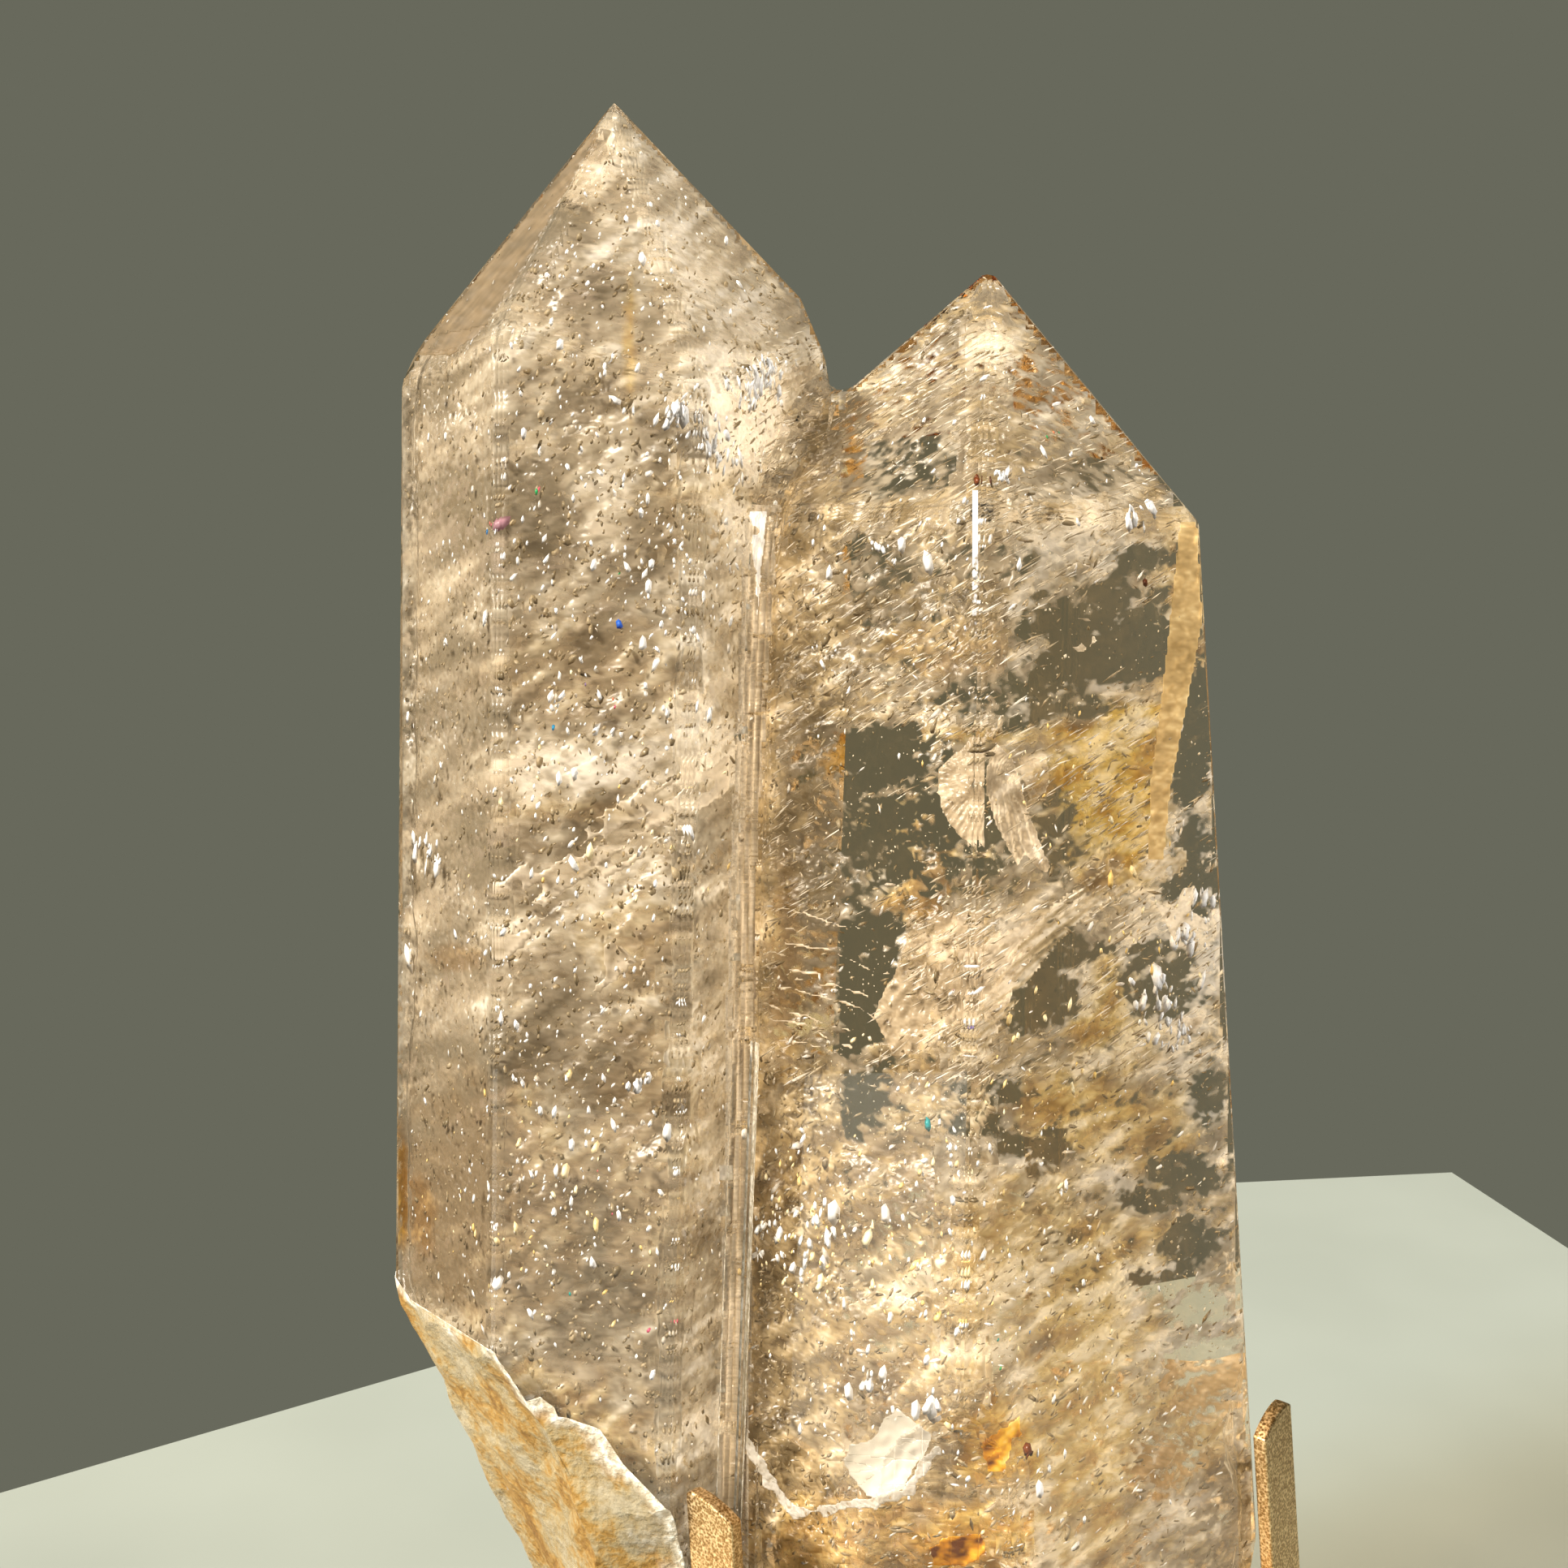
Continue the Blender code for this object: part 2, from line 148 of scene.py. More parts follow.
def bend(way, normal):
    """Snell's law: the way of a ray inside the stone."""
    facing = -normal.dot(way)
    ratio = 1.0 / QUARTZ_IOR
    inner = way * ratio + normal * (ratio * facing - math.sqrt(1 - ratio**2 * (1 - facing**2)))
    return inner.normalized()


class View:
    """An eye and a picture of PICTURE points each way; turn and pitch in degrees, from the front."""

    def __init__(self, eye, turn, pitch):
        self.eye = Vector(eye) * MM
        turn = math.radians(turn)
        pitch = math.radians(pitch)
        flat = Vector((math.sin(turn), math.cos(turn), 0.0))
        self.right = Vector((math.cos(turn), -math.sin(turn), 0.0))
        self.ahead = flat * math.cos(pitch) - Vector((0, 0, math.sin(pitch)))
        self.up = flat * math.sin(pitch) + Vector((0, 0, math.cos(pitch)))

    def way(self, px, py):
        across = self.right * ((px - PICTURE / 2) / FOCAL)
        return (self.ahead + across + self.up * ((PICTURE / 2 - py) / FOCAL)).normalized()

    def sight(self, px, py):
        """Where a line of sight enters, its way inside, how far it runs and the facet it meets."""
        way = self.way(px, py)
        entry, normal, _, _ = shell.ray_cast(self.eye, way)
        if entry is None:
            return None
        inner = bend(way, normal)
        leaving = shell.ray_cast(entry + inner * JUST_INSIDE, inner)
        if leaving[0] is None:
            return None
        return entry, inner, leaving[3], normal

    def past_edge(self, px, py, point, normal):
        """The same for a facet's plane carried on past its edge."""
        way = self.way(px, py)
        entry = self.eye + way * ((point - self.eye).dot(normal) / way.dot(normal))
        return entry, bend(way, normal)


front = View(EYE, 0.0, PITCH)
print("a line of sight runs", round(front.sight(700, 1000)[2] / MM, 1), "mm inside")


# %% [markdown]
# ## Many small flakes as one mesh
# Thousands of separate objects would be slow, so all flakes of a kind are one mesh. Each is a thin
# closed plate with a few faces: a ring of corners with a middle point on each side. Arrays make
# them all at once, because no modelling tool makes ten thousand different plates quickly. A random
# tone for each flake goes into an attribute, which its material reads.

# %% Flake builder
WARP = 0.35  # how far a flake's rim leaves its plane, as a share of its thickness


def unit(rows):
    """Rows of numbers as ways of length 1."""
    return rows / np.maximum(np.linalg.norm(rows, axis=1, keepdims=True), 1e-9)


def plates(name, centres, along, facing, lengths, widths, thickness, corners=6, ragged=0.25):
    """Thin irregular plates, one for each centre; sizes are in metres."""
    count = len(centres)
    along = unit(along)
    facing = unit(facing - along * np.sum(along * facing, axis=1, keepdims=True))
    across = np.cross(facing, along)
    turn = np.arange(corners) * 2 * np.pi / corners
    reach = 0.5 * (1 + ragged * rng.uniform(-1, 1, (count, corners)))
    u = np.cos(turn) * reach * lengths[:, None]
    v = np.sin(turn) * reach * widths[:, None]
    lift = WARP * thickness[:, None] * rng.uniform(-1, 1, (count, corners))
    rim = (centres[:, None] + along[:, None] * u[..., None] + across[:, None] * v[..., None]
           + facing[:, None] * lift[..., None])
    top = centres + facing * thickness[:, None]
    low = centres - facing * thickness[:, None]
    points = np.concatenate([rim, top[:, None], low[:, None]], axis=1)
    ring = np.arange(corners)
    after = (ring + 1) % corners
    upper = np.stack([ring, after, np.full(corners, corners)], axis=1)
    lower = np.stack([after, ring, np.full(corners, corners + 1)], axis=1)
    one = np.concatenate([upper, lower])
    faces = (np.arange(count) * (corners + 2))[:, None, None] + one
    mesh = bpy.data.meshes.new(name)
    faces = faces.reshape(-1, 3)
    mesh.vertices.add(len(points) * (corners + 2))
    mesh.vertices.foreach_set("co", points.reshape(-1).astype(np.float32))
    mesh.loops.add(len(faces) * 3)
    mesh.loops.foreach_set("vertex_index", faces.reshape(-1).astype(np.int32))
    mesh.polygons.add(len(faces))
    mesh.polygons.foreach_set("loop_start", np.arange(len(faces), dtype=np.int32) * 3)
    tone = np.repeat(rng.uniform(0, 1, count), (corners + 2)).astype(np.float32)
    mesh.attributes.new("tone", "FLOAT", "POINT").data.foreach_set("value", tone)
    mesh.update(calc_edges=True)
    obj = into_scene(name, mesh)
    print(name, count, "plates,", len(faces), "triangles")
    return obj


def wear(obj, material):
    """Gives a new piece its material, body and slot."""
    obj.data.materials.append(material)
    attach(obj, "root")
    return obj


# %% [markdown]
# ## Clear citrine
# Polished quartz: an IOR of 1.544, almost no roughness and a faint honey colour that grows with
# depth, which is what Volume Absorption gives. The eye sees sharp reflections on the facets, and
# what lies inside shifted by the bent light.

# %% Citrine material
TINT_PER_METRE = 18.5  # two centimetres of stone are faintly honey, ten are golden
citrine, tree = new_material("polished_citrine")
glass = add(tree, "BsdfPrincipled", {
    "Base Color": colour("#FFFDF8"),
    "Roughness": 0.0,
    "IOR": QUARTZ_IOR,
    "Transmission Weight": 1.0,
})
depth_tint = add(tree, "VolumeAbsorption", {"Color": colour("#F4E2BC"), "Density": TINT_PER_METRE})
path = add(tree, "LightPath")
open_way = add(tree, "BsdfTransparent", {"Color": (0.93, 0.93, 0.93, 1.0)})
lets_light = add(tree, "MixShader", {
    "Fac": path.outputs["Is Shadow Ray"],
    1: glass.outputs[0],
    2: open_way.outputs[0],
})
finish_material(tree, lets_light.outputs[0], depth_tint.outputs[0])
body.data.materials.clear()
body.data.materials.append(citrine)
print("citrine: IOR", QUARTZ_IOR, "absorption", TINT_PER_METRE, "per metre")


# %% [markdown]
# ## The gold coating
# Satin gold paint over steel bar: fine metal flakes in a tinted coat. Under the lamp each flake
# glints by itself, and a side turned away is a plain dark brown. A dark tan metal does both, with
# cells of two tones and two roughnesses for the flakes. Real flakes are a tenth of a millimetre
# wide. They are drawn three times as coarse here, so that they show.

# %% Gold material
gold, tree = new_material("satin_gold_coating")
place = add(tree, "TexCoord").outputs["Object"]
grain = add(tree, "TexNoise", {"Vector": place, "Scale": per_metre(0.6), "Detail": 3.0,
                               "Roughness": 0.7})
cells = add(tree, "TexVoronoi", {"Vector": place, "Scale": per_metre(0.35)})
flecks = add(tree, "Mix", {0: 0.45, 2: grain.outputs["Fac"], 3: cells.outputs["Distance"]},
             data_type="FLOAT")
tint = add(tree, "ValToRGB", {"Fac": flecks.outputs[0]},
           [(0.25, "#7C5C36"), (0.45, "#B8925E"), (0.65, "#FBDFB0")]).outputs["Color"]
rough = add(tree, "MapRange", {"Value": cells.outputs["Distance"], "To Min": 0.26, "To Max": 0.6})
bump = add(tree, "Bump", {"Height": grain.outputs["Fac"], "Strength": 0.3, "Distance": 0.0001})
metal = add(tree, "BsdfPrincipled", {
    "Base Color": tint,
    "Metallic": 1.0,
    "Roughness": rough.outputs["Result"],
    "Normal": bump.outputs["Normal"],
})
finish_material(tree, metal.outputs[0])
for name in ("stand_base", "prong_front", "prong_right", "prong_back", "prong_left"):
    bpy.data.objects[name].data.materials.clear()
    bpy.data.objects[name].data.materials.append(gold)
print("gold coating with flakes of 0.35 mm on the plate and four bars")


# %% [markdown]
# ## Milky quartz
# The veils are healed cracks, full of tiny bubbles that scatter light, so they look like crushed
# cream silk, in places so thin that they are lace. A crumb pattern of about a millimetre and a
# finer noise, drawn out along the way the veil runs, give the grain, and the same grain eats holes
# where the mesh says that a veil is thin. Three attributes of the mesh steer it: full, from lace to
# solid; tone, a slow change of shade; and stain, from cream to the yellow and orange of iron oxide.
# A veil is a closed sheet, and a ray that came in through a hole would have to find its way out
# through the second side too. So a lace veil is Transparent where a ray meets it from within,
# which looks the same and renders twice as fast.

# %% Veil colours
CREAM = [(0.26, "#817662"), (0.42, "#9B8F7B"), (0.56, "#B2A894"), (0.74, "#DFD9CD")]
HONEY = [(0.28, "#7A6B50"), (0.42, "#A08E6C"), (0.55, "#C0AE8C"), (0.7, "#EFE3CC")]
SILK = [(0.3, "#938470"), (0.5, "#B0A28A"), (0.72, "#D8CCB8")]
# Painted reflection: the tan of the far wall, as a facet mirrors it.
PAINTED_REFLECTION_TAN = [(0.3, "#76664C"), (0.5, "#8C795C"), (0.72, "#A08E70")]
PALE = [(0.3, "#A29278"), (0.5, "#BCAE96"), (0.7, "#E4DAC8")]
STRIP = [(0.3, "#B09868"), (0.5, "#CBB484"), (0.7, "#E6D6AC")]
CHIP = [(0.2, "#8E7D5E"), (0.8, "#C4B290"), (0.93, "#FFFFFF")]
IRON = [(0.3, "#7E5A20"), (0.44, "#B28C42"), (0.58, "#CDB264"), (0.75, "#EADCB4")]
SATIN = [(0.2, "#A59C8A"), (0.55, "#CFC9BC"), (0.9, "#FAF7F0")]
CHALK = [(0.3, "#B6AE9E"), (0.7, "#EEEAE2")]
AMBER = [(0.3, "#6A3A14"), (0.42, "#B8801E"), (0.56, "#DDB43C"), (0.72, "#F0DA8C")]
FIBRE = [(0.2, "#A8977A"), (0.5, "#CDBFA4"), (0.85, "#F6F0E4")]
DUST = [(0.2, "#A08E6A"), (0.8, "#F0E6D0")]
# Painted glints: white and golden colours for flakes that face the sun.
PAINTED_GLINT_WHITE = [(0.3, "#F6F4F0"), (0.7, "#FFFFFF")]
PAINTED_GLINT_GOLD = [(0.3, "#F0CE80"), (0.7, "#FFF3CC")]
# A painted highlight for a sharp edge.
PAINTED_EDGE_HIGHLIGHT = [(0.3, "#DCE0E6"), (0.7, "#FFFFFF")]
RAINBOW = [(0.2, "#2FB36A"), (0.35, "#1FA0C8"), (0.5, "#2F63D8"), (0.65, "#E0A060"),
           (0.8, "#E06A8A")]
RUST = [(0.3, "#3A1A0C"), (0.7, "#6E3616")]
print("colour ramps for", len(RAINBOW), "rainbow colours and", len(CREAM), "creams")


# %% Veil materials
def veil_material(name, stops, crumb_mm, stretch, strength, roughness, lace=True, sheen=0.5,
                  tone_share=0.5, through=0.45, lean=28):
    """Crumbs of a size in mm, drawn out stretch times at lean degrees, with bumps of a strength.

    tone_share is how much of its shade comes from the mesh, and through how much light passes on.
    """
    made, tree = new_material(name)
    place = add(tree, "TexCoord").outputs["Object"]
    run = add(tree, "Mapping", {"Vector": place, "Rotation": (0.0, math.radians(-lean), 0.0),
                                "Scale": (1.0 / stretch, 1.0, 1.0)})
    crumbs = add(tree, "TexVoronoi", {"Vector": run.outputs[0], "Scale": per_metre(crumb_mm)})
    fine = add(tree, "TexNoise", {"Vector": run.outputs[0], "Scale": per_metre(crumb_mm * 1.4),
                                  "Detail": 1.0, "Roughness": 0.65})
    tone = add(tree, "Attribute", attribute_name="tone").outputs["Fac"]
    full = add(tree, "Attribute", attribute_name="full").outputs["Fac"]
    stain = add(tree, "Attribute", attribute_name="stain").outputs["Fac"]
    dips = add(tree, "MapRange", {"Value": crumbs.outputs["Distance"], "From Max": 0.9,
                                  "To Min": 0.75, "To Max": 0.2})
    grain = add(tree, "Mix", {0: 0.6, 2: dips.outputs["Result"], 3: fine.outputs["Fac"]},
                data_type="FLOAT").outputs[0]
    shade = add(tree, "Mix", {0: tone_share, 2: grain, 3: tone}, data_type="FLOAT").outputs[0]
    cream = add(tree, "ValToRGB", {"Fac": shade}, stops).outputs["Color"]
    iron = add(tree, "ValToRGB", {"Fac": shade}, IRON).outputs["Color"]
    tinted = add(tree, "Mix", {0: stain, 6: cream, 7: iron}, data_type="RGBA").outputs[2]
    skin = add(tree, "BsdfPrincipled", {"Base Color": tinted, "Roughness": roughness,
                                        "Specular IOR Level": sheen})
    glow = add(tree, "BsdfTranslucent", {"Color": tinted})
    if strength > 0.0:
        bump = add(tree, "Bump", {"Height": fine.outputs["Fac"], "Strength": strength,
                                  "Distance": crumb_mm * MM * 0.8}).outputs["Normal"]
        tree.links.new(bump, skin.inputs["Normal"])
        tree.links.new(bump, glow.inputs["Normal"])
    cloud = add(tree, "MixShader", {"Fac": through, 1: skin.outputs[0], 2: glow.outputs[0]})
    cloud = cloud.outputs[0]
    if lace:
        both = add(tree, "Math", {0: full, 1: fine.outputs["Fac"]}, operation="ADD")
        solid = add(tree, "MapRange", {"Value": both.outputs[0], "From Min": 0.9, "From Max": 1.12})
        hole = add(tree, "BsdfTransparent").outputs[0]
        cloud = add(tree, "MixShader", {"Fac": solid.outputs["Result"], 1: hole, 2: cloud})
        within = add(tree, "NewGeometry").outputs["Backfacing"]
        cloud = add(tree, "MixShader", {"Fac": within, 1: cloud.outputs[0], 2: hole}).outputs[0]
    finish_material(tree, cloud)
    return made


# Milky veils: crushed cream silk, warmer and stringy in the right point, sleek where a crack
# healed slowly, and ruled with fine lines in the groove.
milky = veil_material("milky_quartz", CREAM, 1.0, 1.8, 0.5, 0.3, lean=35)
stringy = veil_material("stringy_milky_quartz", HONEY, 0.9, 3.0, 0.7, 0.3)
silky = veil_material("silky_quartz", SILK, 1.0, 6.0, 0.0, 0.35)
striated = veil_material("striated_quartz", SILK, 0.5, 14.0, 0.6, 0.25, tone_share=0.6, lean=90)
# Whole crack faces: a golden strip along the edge, a satin one like wet paper, pale ridged ones and
# amber ones coated with iron oxide. The tan sheet is a painted reflection, not a crack: it lies
# under a facet and paints the far wall mirrored in it.
strip = veil_material("golden_strip_quartz", STRIP, 0.7, 22.0, 0.2, 0.3, lace=False,
                      tone_share=0.2, through=0.6, lean=83)
satin = veil_material("satin_quartz", SATIN, 3.0, 3.0, 0.1, 0.25, lace=False, sheen=0.8,
                      tone_share=0.85)
painted_reflection = veil_material("painted_tan_reflection_quartz", PAINTED_REFLECTION_TAN, 2.0, 6.0, 0.0, 0.4, lace=False, tone_share=0.1,
                    lean=60)
pale = veil_material("pale_fracture_quartz", PALE, 0.6, 2.5, 0.5, 0.3, lace=False, through=0.55)
amber = veil_material("amber_iron_quartz", AMBER, 0.8, 1.5, 0.3, 0.3, lace=False)
# Crushed quartz where the root's edge was bruised: dull white, like chalk.
chalky = veil_material("bruised_quartz", CHALK, 0.7, 1.0, 0.5, 0.4)
# Loose flakes, fibres and dust: each has one shade of its own, some of them almost white.
flaky = veil_material("flaky_quartz", CHIP, 0.8, 1.0, 0.3, 0.2, lace=False, sheen=0.9,
                      tone_share=0.9)
fibrous = veil_material("fibrous_quartz", FIBRE, 0.8, 1.0, 0.0, 0.3, lace=False, tone_share=1.0)
dusty = veil_material("dusty_quartz", DUST, 0.8, 1.0, 0.0, 0.3, lace=False, tone_share=1.0)
# Tiny cracks turned to the sun catch a real reflection, and their white and golden colours paint
# more glint on top; a white sheet along a sharp edge is a painted highlight; and a film of air shows
# the colours of a rainbow.
painted_white_glint = veil_material("painted_white_glint_quartz", PAINTED_GLINT_WHITE, 0.8, 1.0, 0.0, 0.15, lace=False, sheen=1.0,
                       through=0.2)
painted_gold_glint = veil_material("painted_gold_glint_quartz", PAINTED_GLINT_GOLD, 0.8, 1.0, 0.0, 0.15, lace=False, sheen=1.0,
                       through=0.2)
painted_highlight = veil_material("painted_edge_highlight_quartz", PAINTED_EDGE_HIGHLIGHT, 0.5, 12.0, 0.0, 0.15, sheen=1.0,
                         through=0.2, lean=90)
rainbow = veil_material("rainbow_flake_quartz", RAINBOW, 0.8, 1.0, 0.0, 0.15, lace=False,
                        sheen=1.0, tone_share=1.0)
# Seeds of iron mineral: dull dark brown dots.
rusty = veil_material("brown_iron_seed", RUST, 0.6, 1.0, 0.3, 0.3, lace=False, through=0.1)
print(sum("quartz" in m.name for m in bpy.data.materials), "kinds of quartz so far")


# %% [markdown]
# ## Where the veils are
# The picture is read as a map of places: clear windows with few flakes, stains of iron, and
# places that are lighter or darker than the rest. Each is an ellipse in picture points, and a
# ripple of noise makes its edge ragged.

# %% Windows, stains and shades
CLEAR = (
    # middle x, middle y, half width, half height, how clear
    (1360, 785, 88, 58, 1.0), (1300, 860, 60, 28, 0.7),
    (1300, 1030, 34, 60, 0.5), (1225, 860, 60, 40, 0.6),
    (1190, 1010, 60, 90, 0.75), (1060, 935, 105, 40, 1.0),
    (1080, 1040, 110, 60, 0.75), (1030, 1210, 90, 95, 1.0),
    (962, 1210, 22, 110, 0.6), (1310, 1170, 60, 30, 0.6),
    (1430, 1210, 50, 45, 0.7), (1466, 900, 26, 80, 1.0),
    (1470, 1070, 30, 60, 0.7), (1460, 1445, 44, 22, 0.85),
    (1420, 1480, 36, 16, 0.7), (1470, 1530, 40, 30, 0.85),
    (1430, 1580, 40, 18, 0.7), (1480, 1610, 30, 24, 0.7),
    (1485, 1700, 45, 50, 0.9), (1490, 1350, 24, 40, 0.6),
    (1440, 1800, 50, 40, 0.6), (1215, 1345, 50, 18, 0.8),
    (1205, 1385, 34, 20, 0.8), (1265, 1415, 50, 24, 0.8),
    (1280, 1230, 50, 40, 0.8), (1060, 1360, 30, 40, 0.7),
    (1410, 690, 45, 18, 0.7), (1225, 690, 60, 22, 0.4),
    (1060, 700, 70, 30, 0.35), (1100, 575, 90, 34, 0.4),
    (1260, 470, 70, 34, 0.3), (1150, 440, 60, 24, 0.15),
    (1340, 590, 50, 24, 0.35), (610, 640, 60, 60, 0.35),
    (600, 1000, 60, 40, 0.2), (600, 1480, 80, 60, 0.2),
    (720, 1400, 60, 40, 0.2),
)
STAINS = (
    # middle x, middle y, half width, half height, how strong
    (1365, 975, 70, 105, 0.95), (1395, 876, 56, 9, 1.0),
    (1340, 905, 40, 12, 0.9), (1300, 960, 30, 30, 0.5),
    (1150, 1060, 40, 40, 0.6), (1240, 905, 120, 9, 0.6),
    (1110, 1010, 50, 26, 0.6), (1135, 1115, 50, 20, 0.6),
    (1160, 800, 60, 30, 0.3), (966, 1200, 20, 130, 0.35),
    (492, 1470, 14, 90, 1.0), (520, 1500, 18, 50, 0.6),
    (780, 1150, 60, 60, 0.2), (640, 1800, 160, 110, 0.4),
    (600, 1480, 120, 150, 0.22), (800, 1420, 60, 200, 0.15),
    (720, 820, 120, 60, 0.12), (860, 620, 60, 60, 0.12),
    (1060, 1480, 120, 100, 0.18), (1370, 1250, 60, 60, 0.6),
    (1330, 1370, 80, 60, 0.6), (1290, 1560, 130, 110, 0.35),
    (1150, 1660, 140, 90, 0.22), (1120, 1350, 60, 60, 0.2),
    (1430, 1400, 40, 60, 0.4), (1235, 1780, 60, 50, 0.8),
    (1190, 1900, 80, 50, 0.8), (1060, 1890, 130, 50, 0.5),
    (1340, 1720, 70, 220, 0.55), (776, 420, 7, 80, 0.5),
    (690, 1000, 90, 14, 0.2), (560, 1180, 40, 14, 0.3),
    (1455, 780, 30, 150, 0.4), (1470, 1750, 40, 70, 0.5),
)
SHADES = (
    # middle x, middle y, half width, half height, how much lighter or darker
    (620, 640, 90, 70, -0.4), (560, 900, 70, 90, -0.15),
    (620, 1060, 80, 40, -0.25), (760, 740, 60, 60, -0.15),
    (600, 1440, 130, 160, -0.3), (780, 1560, 110, 120, -0.25),
    (720, 1290, 160, 40, -0.2), (1000, 1080, 36, 230, -0.5),
    (995, 740, 36, 90, 0.25), (900, 500, 60, 80, 0.4),
    (840, 920, 70, 60, 0.15), (700, 960, 160, 40, 0.2),
    (700, 330, 60, 90, -0.2), (820, 330, 60, 60, 0.15),
    (1100, 760, 140, 60, -0.05), (1000, 520, 50, 60, -0.1),
    (1320, 660, 80, 26, 0.2), (1100, 1450, 120, 60, -0.1),
    (1180, 1560, 160, 60, 0.15), (1440, 1190, 60, 120, 0.5),
    (1300, 1640, 120, 60, 0.15),
)


print(len(CLEAR), "windows,", len(STAINS), "stains,", len(SHADES), "shades")


# %% Reading the maps
GROOVE_FACET = 1037  # the narrow facet right of the groove ends at this x of the picture


def blob(px, py, x, y, wide, high, ripple):
    """1 in the middle of an ellipse, falling to 0 a little outside it."""
    away = ((px - x) / wide) ** 2 + ((py - y) / high) ** 2 + ripple
    return min(1.0, max(0.0, 1.5 - away))


def ripple_at(px, py, size, seed):
    """Round noise of a size in picture points."""
    return noise.noise(Vector((px / size, py / size, seed)))


def clearness(px, py):
    """How clear the stone is at a point of the picture, with edges that run with the veils."""
    along = px * 0.883 - py * 0.469
    across = px * 0.469 + py * 0.883
    ripple = 1.1 * noise.fractal(Vector((along / 60, across / 20, 3.0)), 0.8, 2.0, 4)
    found = max(clear * blob(px, py, x, y, wide, high, ripple) for x, y, wide, high, clear in CLEAR)
    return found * (0.55 if px < GROOVE_FACET else 1.0)


def stained(px, py):
    ripple = noise.fractal(Vector((px / 30, py / 30, 5.0)), 1.0, 2.0, 4)
    return min(1.0, max(s * blob(px, py, x, y, wide, high, ripple) for x, y, wide, high, s in STAINS))


def shaded(px, py):
    ripple = 0.5 * ripple_at(px, py, 30.0, 14.0)
    return sum(change * blob(px, py, x, y, wide, high, ripple) for x, y, wide, high, change in SHADES)


print("clearness at a window:", round(clearness(1365, 790), 2))
print("clearness in a cloud:", round(clearness(700, 900), 2))


# %% [markdown]
# ## Curtains
# A veil is a crinkled sheet. A grid is laid over a stretch of the picture, and each of its points is
# pushed into the crystal along its line of sight. At a facet's edge the light bends another way, so
# each facet gets its own sheet, carried a square past the edge, and the seam is a clean thin line.
# An extrude then gives the sheet a second side, a tenth of a millimetre behind the first. Real veils
# pass light on to the ones behind, so these sheets cast no shadow.

# %% Lines and outlines in the picture
def inside(px, py, outline):
    """True if a point lies within a closed outline."""
    found = False
    for (ax, ay), (bx, by) in zip(outline, outline[1:] + outline[:1]):
        if (ay > py) != (by > py) and px < (bx - ax) * (py - ay) / (by - ay) + ax:
            found = not found
    return found


def beside(px, py, path, half):
    """True if a point lies within half of a line through given points."""
    for (ax, ay), (bx, by) in zip(path, path[1:]):
        share = ((px - ax) * (bx - ax) + (py - ay) * (by - ay)) / ((bx - ax) ** 2 + (by - ay) ** 2)
        share = min(1.0, max(0.0, share))
        if math.hypot(px - ax - share * (bx - ax), py - ay - share * (by - ay)) < half:
            return True
    return False


def streaks(px, py, angle, long, short, seed):
    """Noise drawn out along one direction of the picture; angle is in degrees, up to the right."""
    turn = math.radians(angle)
    u = px * math.cos(turn) - py * math.sin(turn)
    v = px * math.sin(turn) + py * math.cos(turn)
    return noise.noise(Vector((u / long, v / short, seed)))


print("in a square:", inside(1, 1, [(0, 0), (2, 0), (2, 2), (0, 2)]))


# %% Curtain builder
THINNEST = 0.06  # well below the first crumbs, so that an edge ends in lace and not in squares
SHALLOWEST = 0.25 * MM  # a veil nearer to the facet than this is left out
HALFWAY = 0.5  # and none goes deeper than this share of a line's run through the stone
# Painted light and shade: a veil's tone is raised under facets turned right and lowered under facets turned
# left.
PAINTED_SIDE_LIGHT = 0.22  # veils under facets turned to the right are a little lighter


def flowing_tone(px, py):
    """A veil's slow change of shade, drawn out along its flow."""
    broad = 0.35 * ripple_at(px, py, 70.0, 1.0) + 0.5 * streaks(px, py, 33, 120.0, 26.0, 5.0)
    return 0.5 + shaded(px, py) + broad + 0.45 * streaks(px, py, 38, 34.0, 12.0, 9.0)


def facet_key(normal):
    return tuple(round(c, 3) for c in normal)


def carry_past_edges(bm, view, seen, layers, join):
    """Where a square crosses a facet's edge, each facet gets its own; returns the squares to drop."""
    gone = []
    carried = {}
    for face in bm.faces[:]:
        corners = list(face.verts)
        if not all(v in seen for v in corners):
            gone.append(face)
            continue
        kinds = {facet_key(seen[v][3]): v for v in corners}
        if len(kinds) == 1:
            continue
        gone.append(face)
        for kind, owner in kinds.items():
            ring = []
            for v in corners:
                px, py, _, normal, depth = seen[v]
                if facet_key(normal) == kind:
                    ring.append(v)
                    continue
                if (v, kind) not in carried:
                    entry, way = view.past_edge(px, py, seen[owner][2], seen[owner][3])
                    beyond = bm.verts.new(entry + way * min(depth, seen[owner][4] * 1.2))
                    for layer in layers.values():
                        beyond[layer] = v[layer]
                    carried[v, kind] = beyond
                ring.append(carried[v, kind])
            if max((p.co - q.co).length for p, q in zip(ring, ring[1:] + ring[:1])) < join * MM:
                bm.faces.new(ring)
    return gone


def drop(bm, gone):
    """Deletes faces, and the points that are left without one."""
    bmesh.ops.delete(bm, geom=gone, context="FACES")
    bmesh.ops.delete(bm, geom=[v for v in bm.verts if not v.link_faces], context="VERTS")


def add_second_side(bm, thickness):
    """A side thickness mm behind the first, joined to it along the rim."""
    second = bmesh.ops.extrude_face_region(bm, geom=bm.faces[:], use_keep_orig=True)["geom"]
    for vert in [v for v in second if isinstance(v, bmesh.types.BMVert)]:
        vert.co -= vert.normal * thickness * MM
    bmesh.ops.recalc_face_normals(bm, faces=bm.faces)


def finish_mesh(bm, name):
    mesh = bpy.data.meshes.new(name)
    bm.to_mesh(mesh)
    print(name, len(bm.faces), "faces")
    bm.free()
    return into_scene(name, mesh)


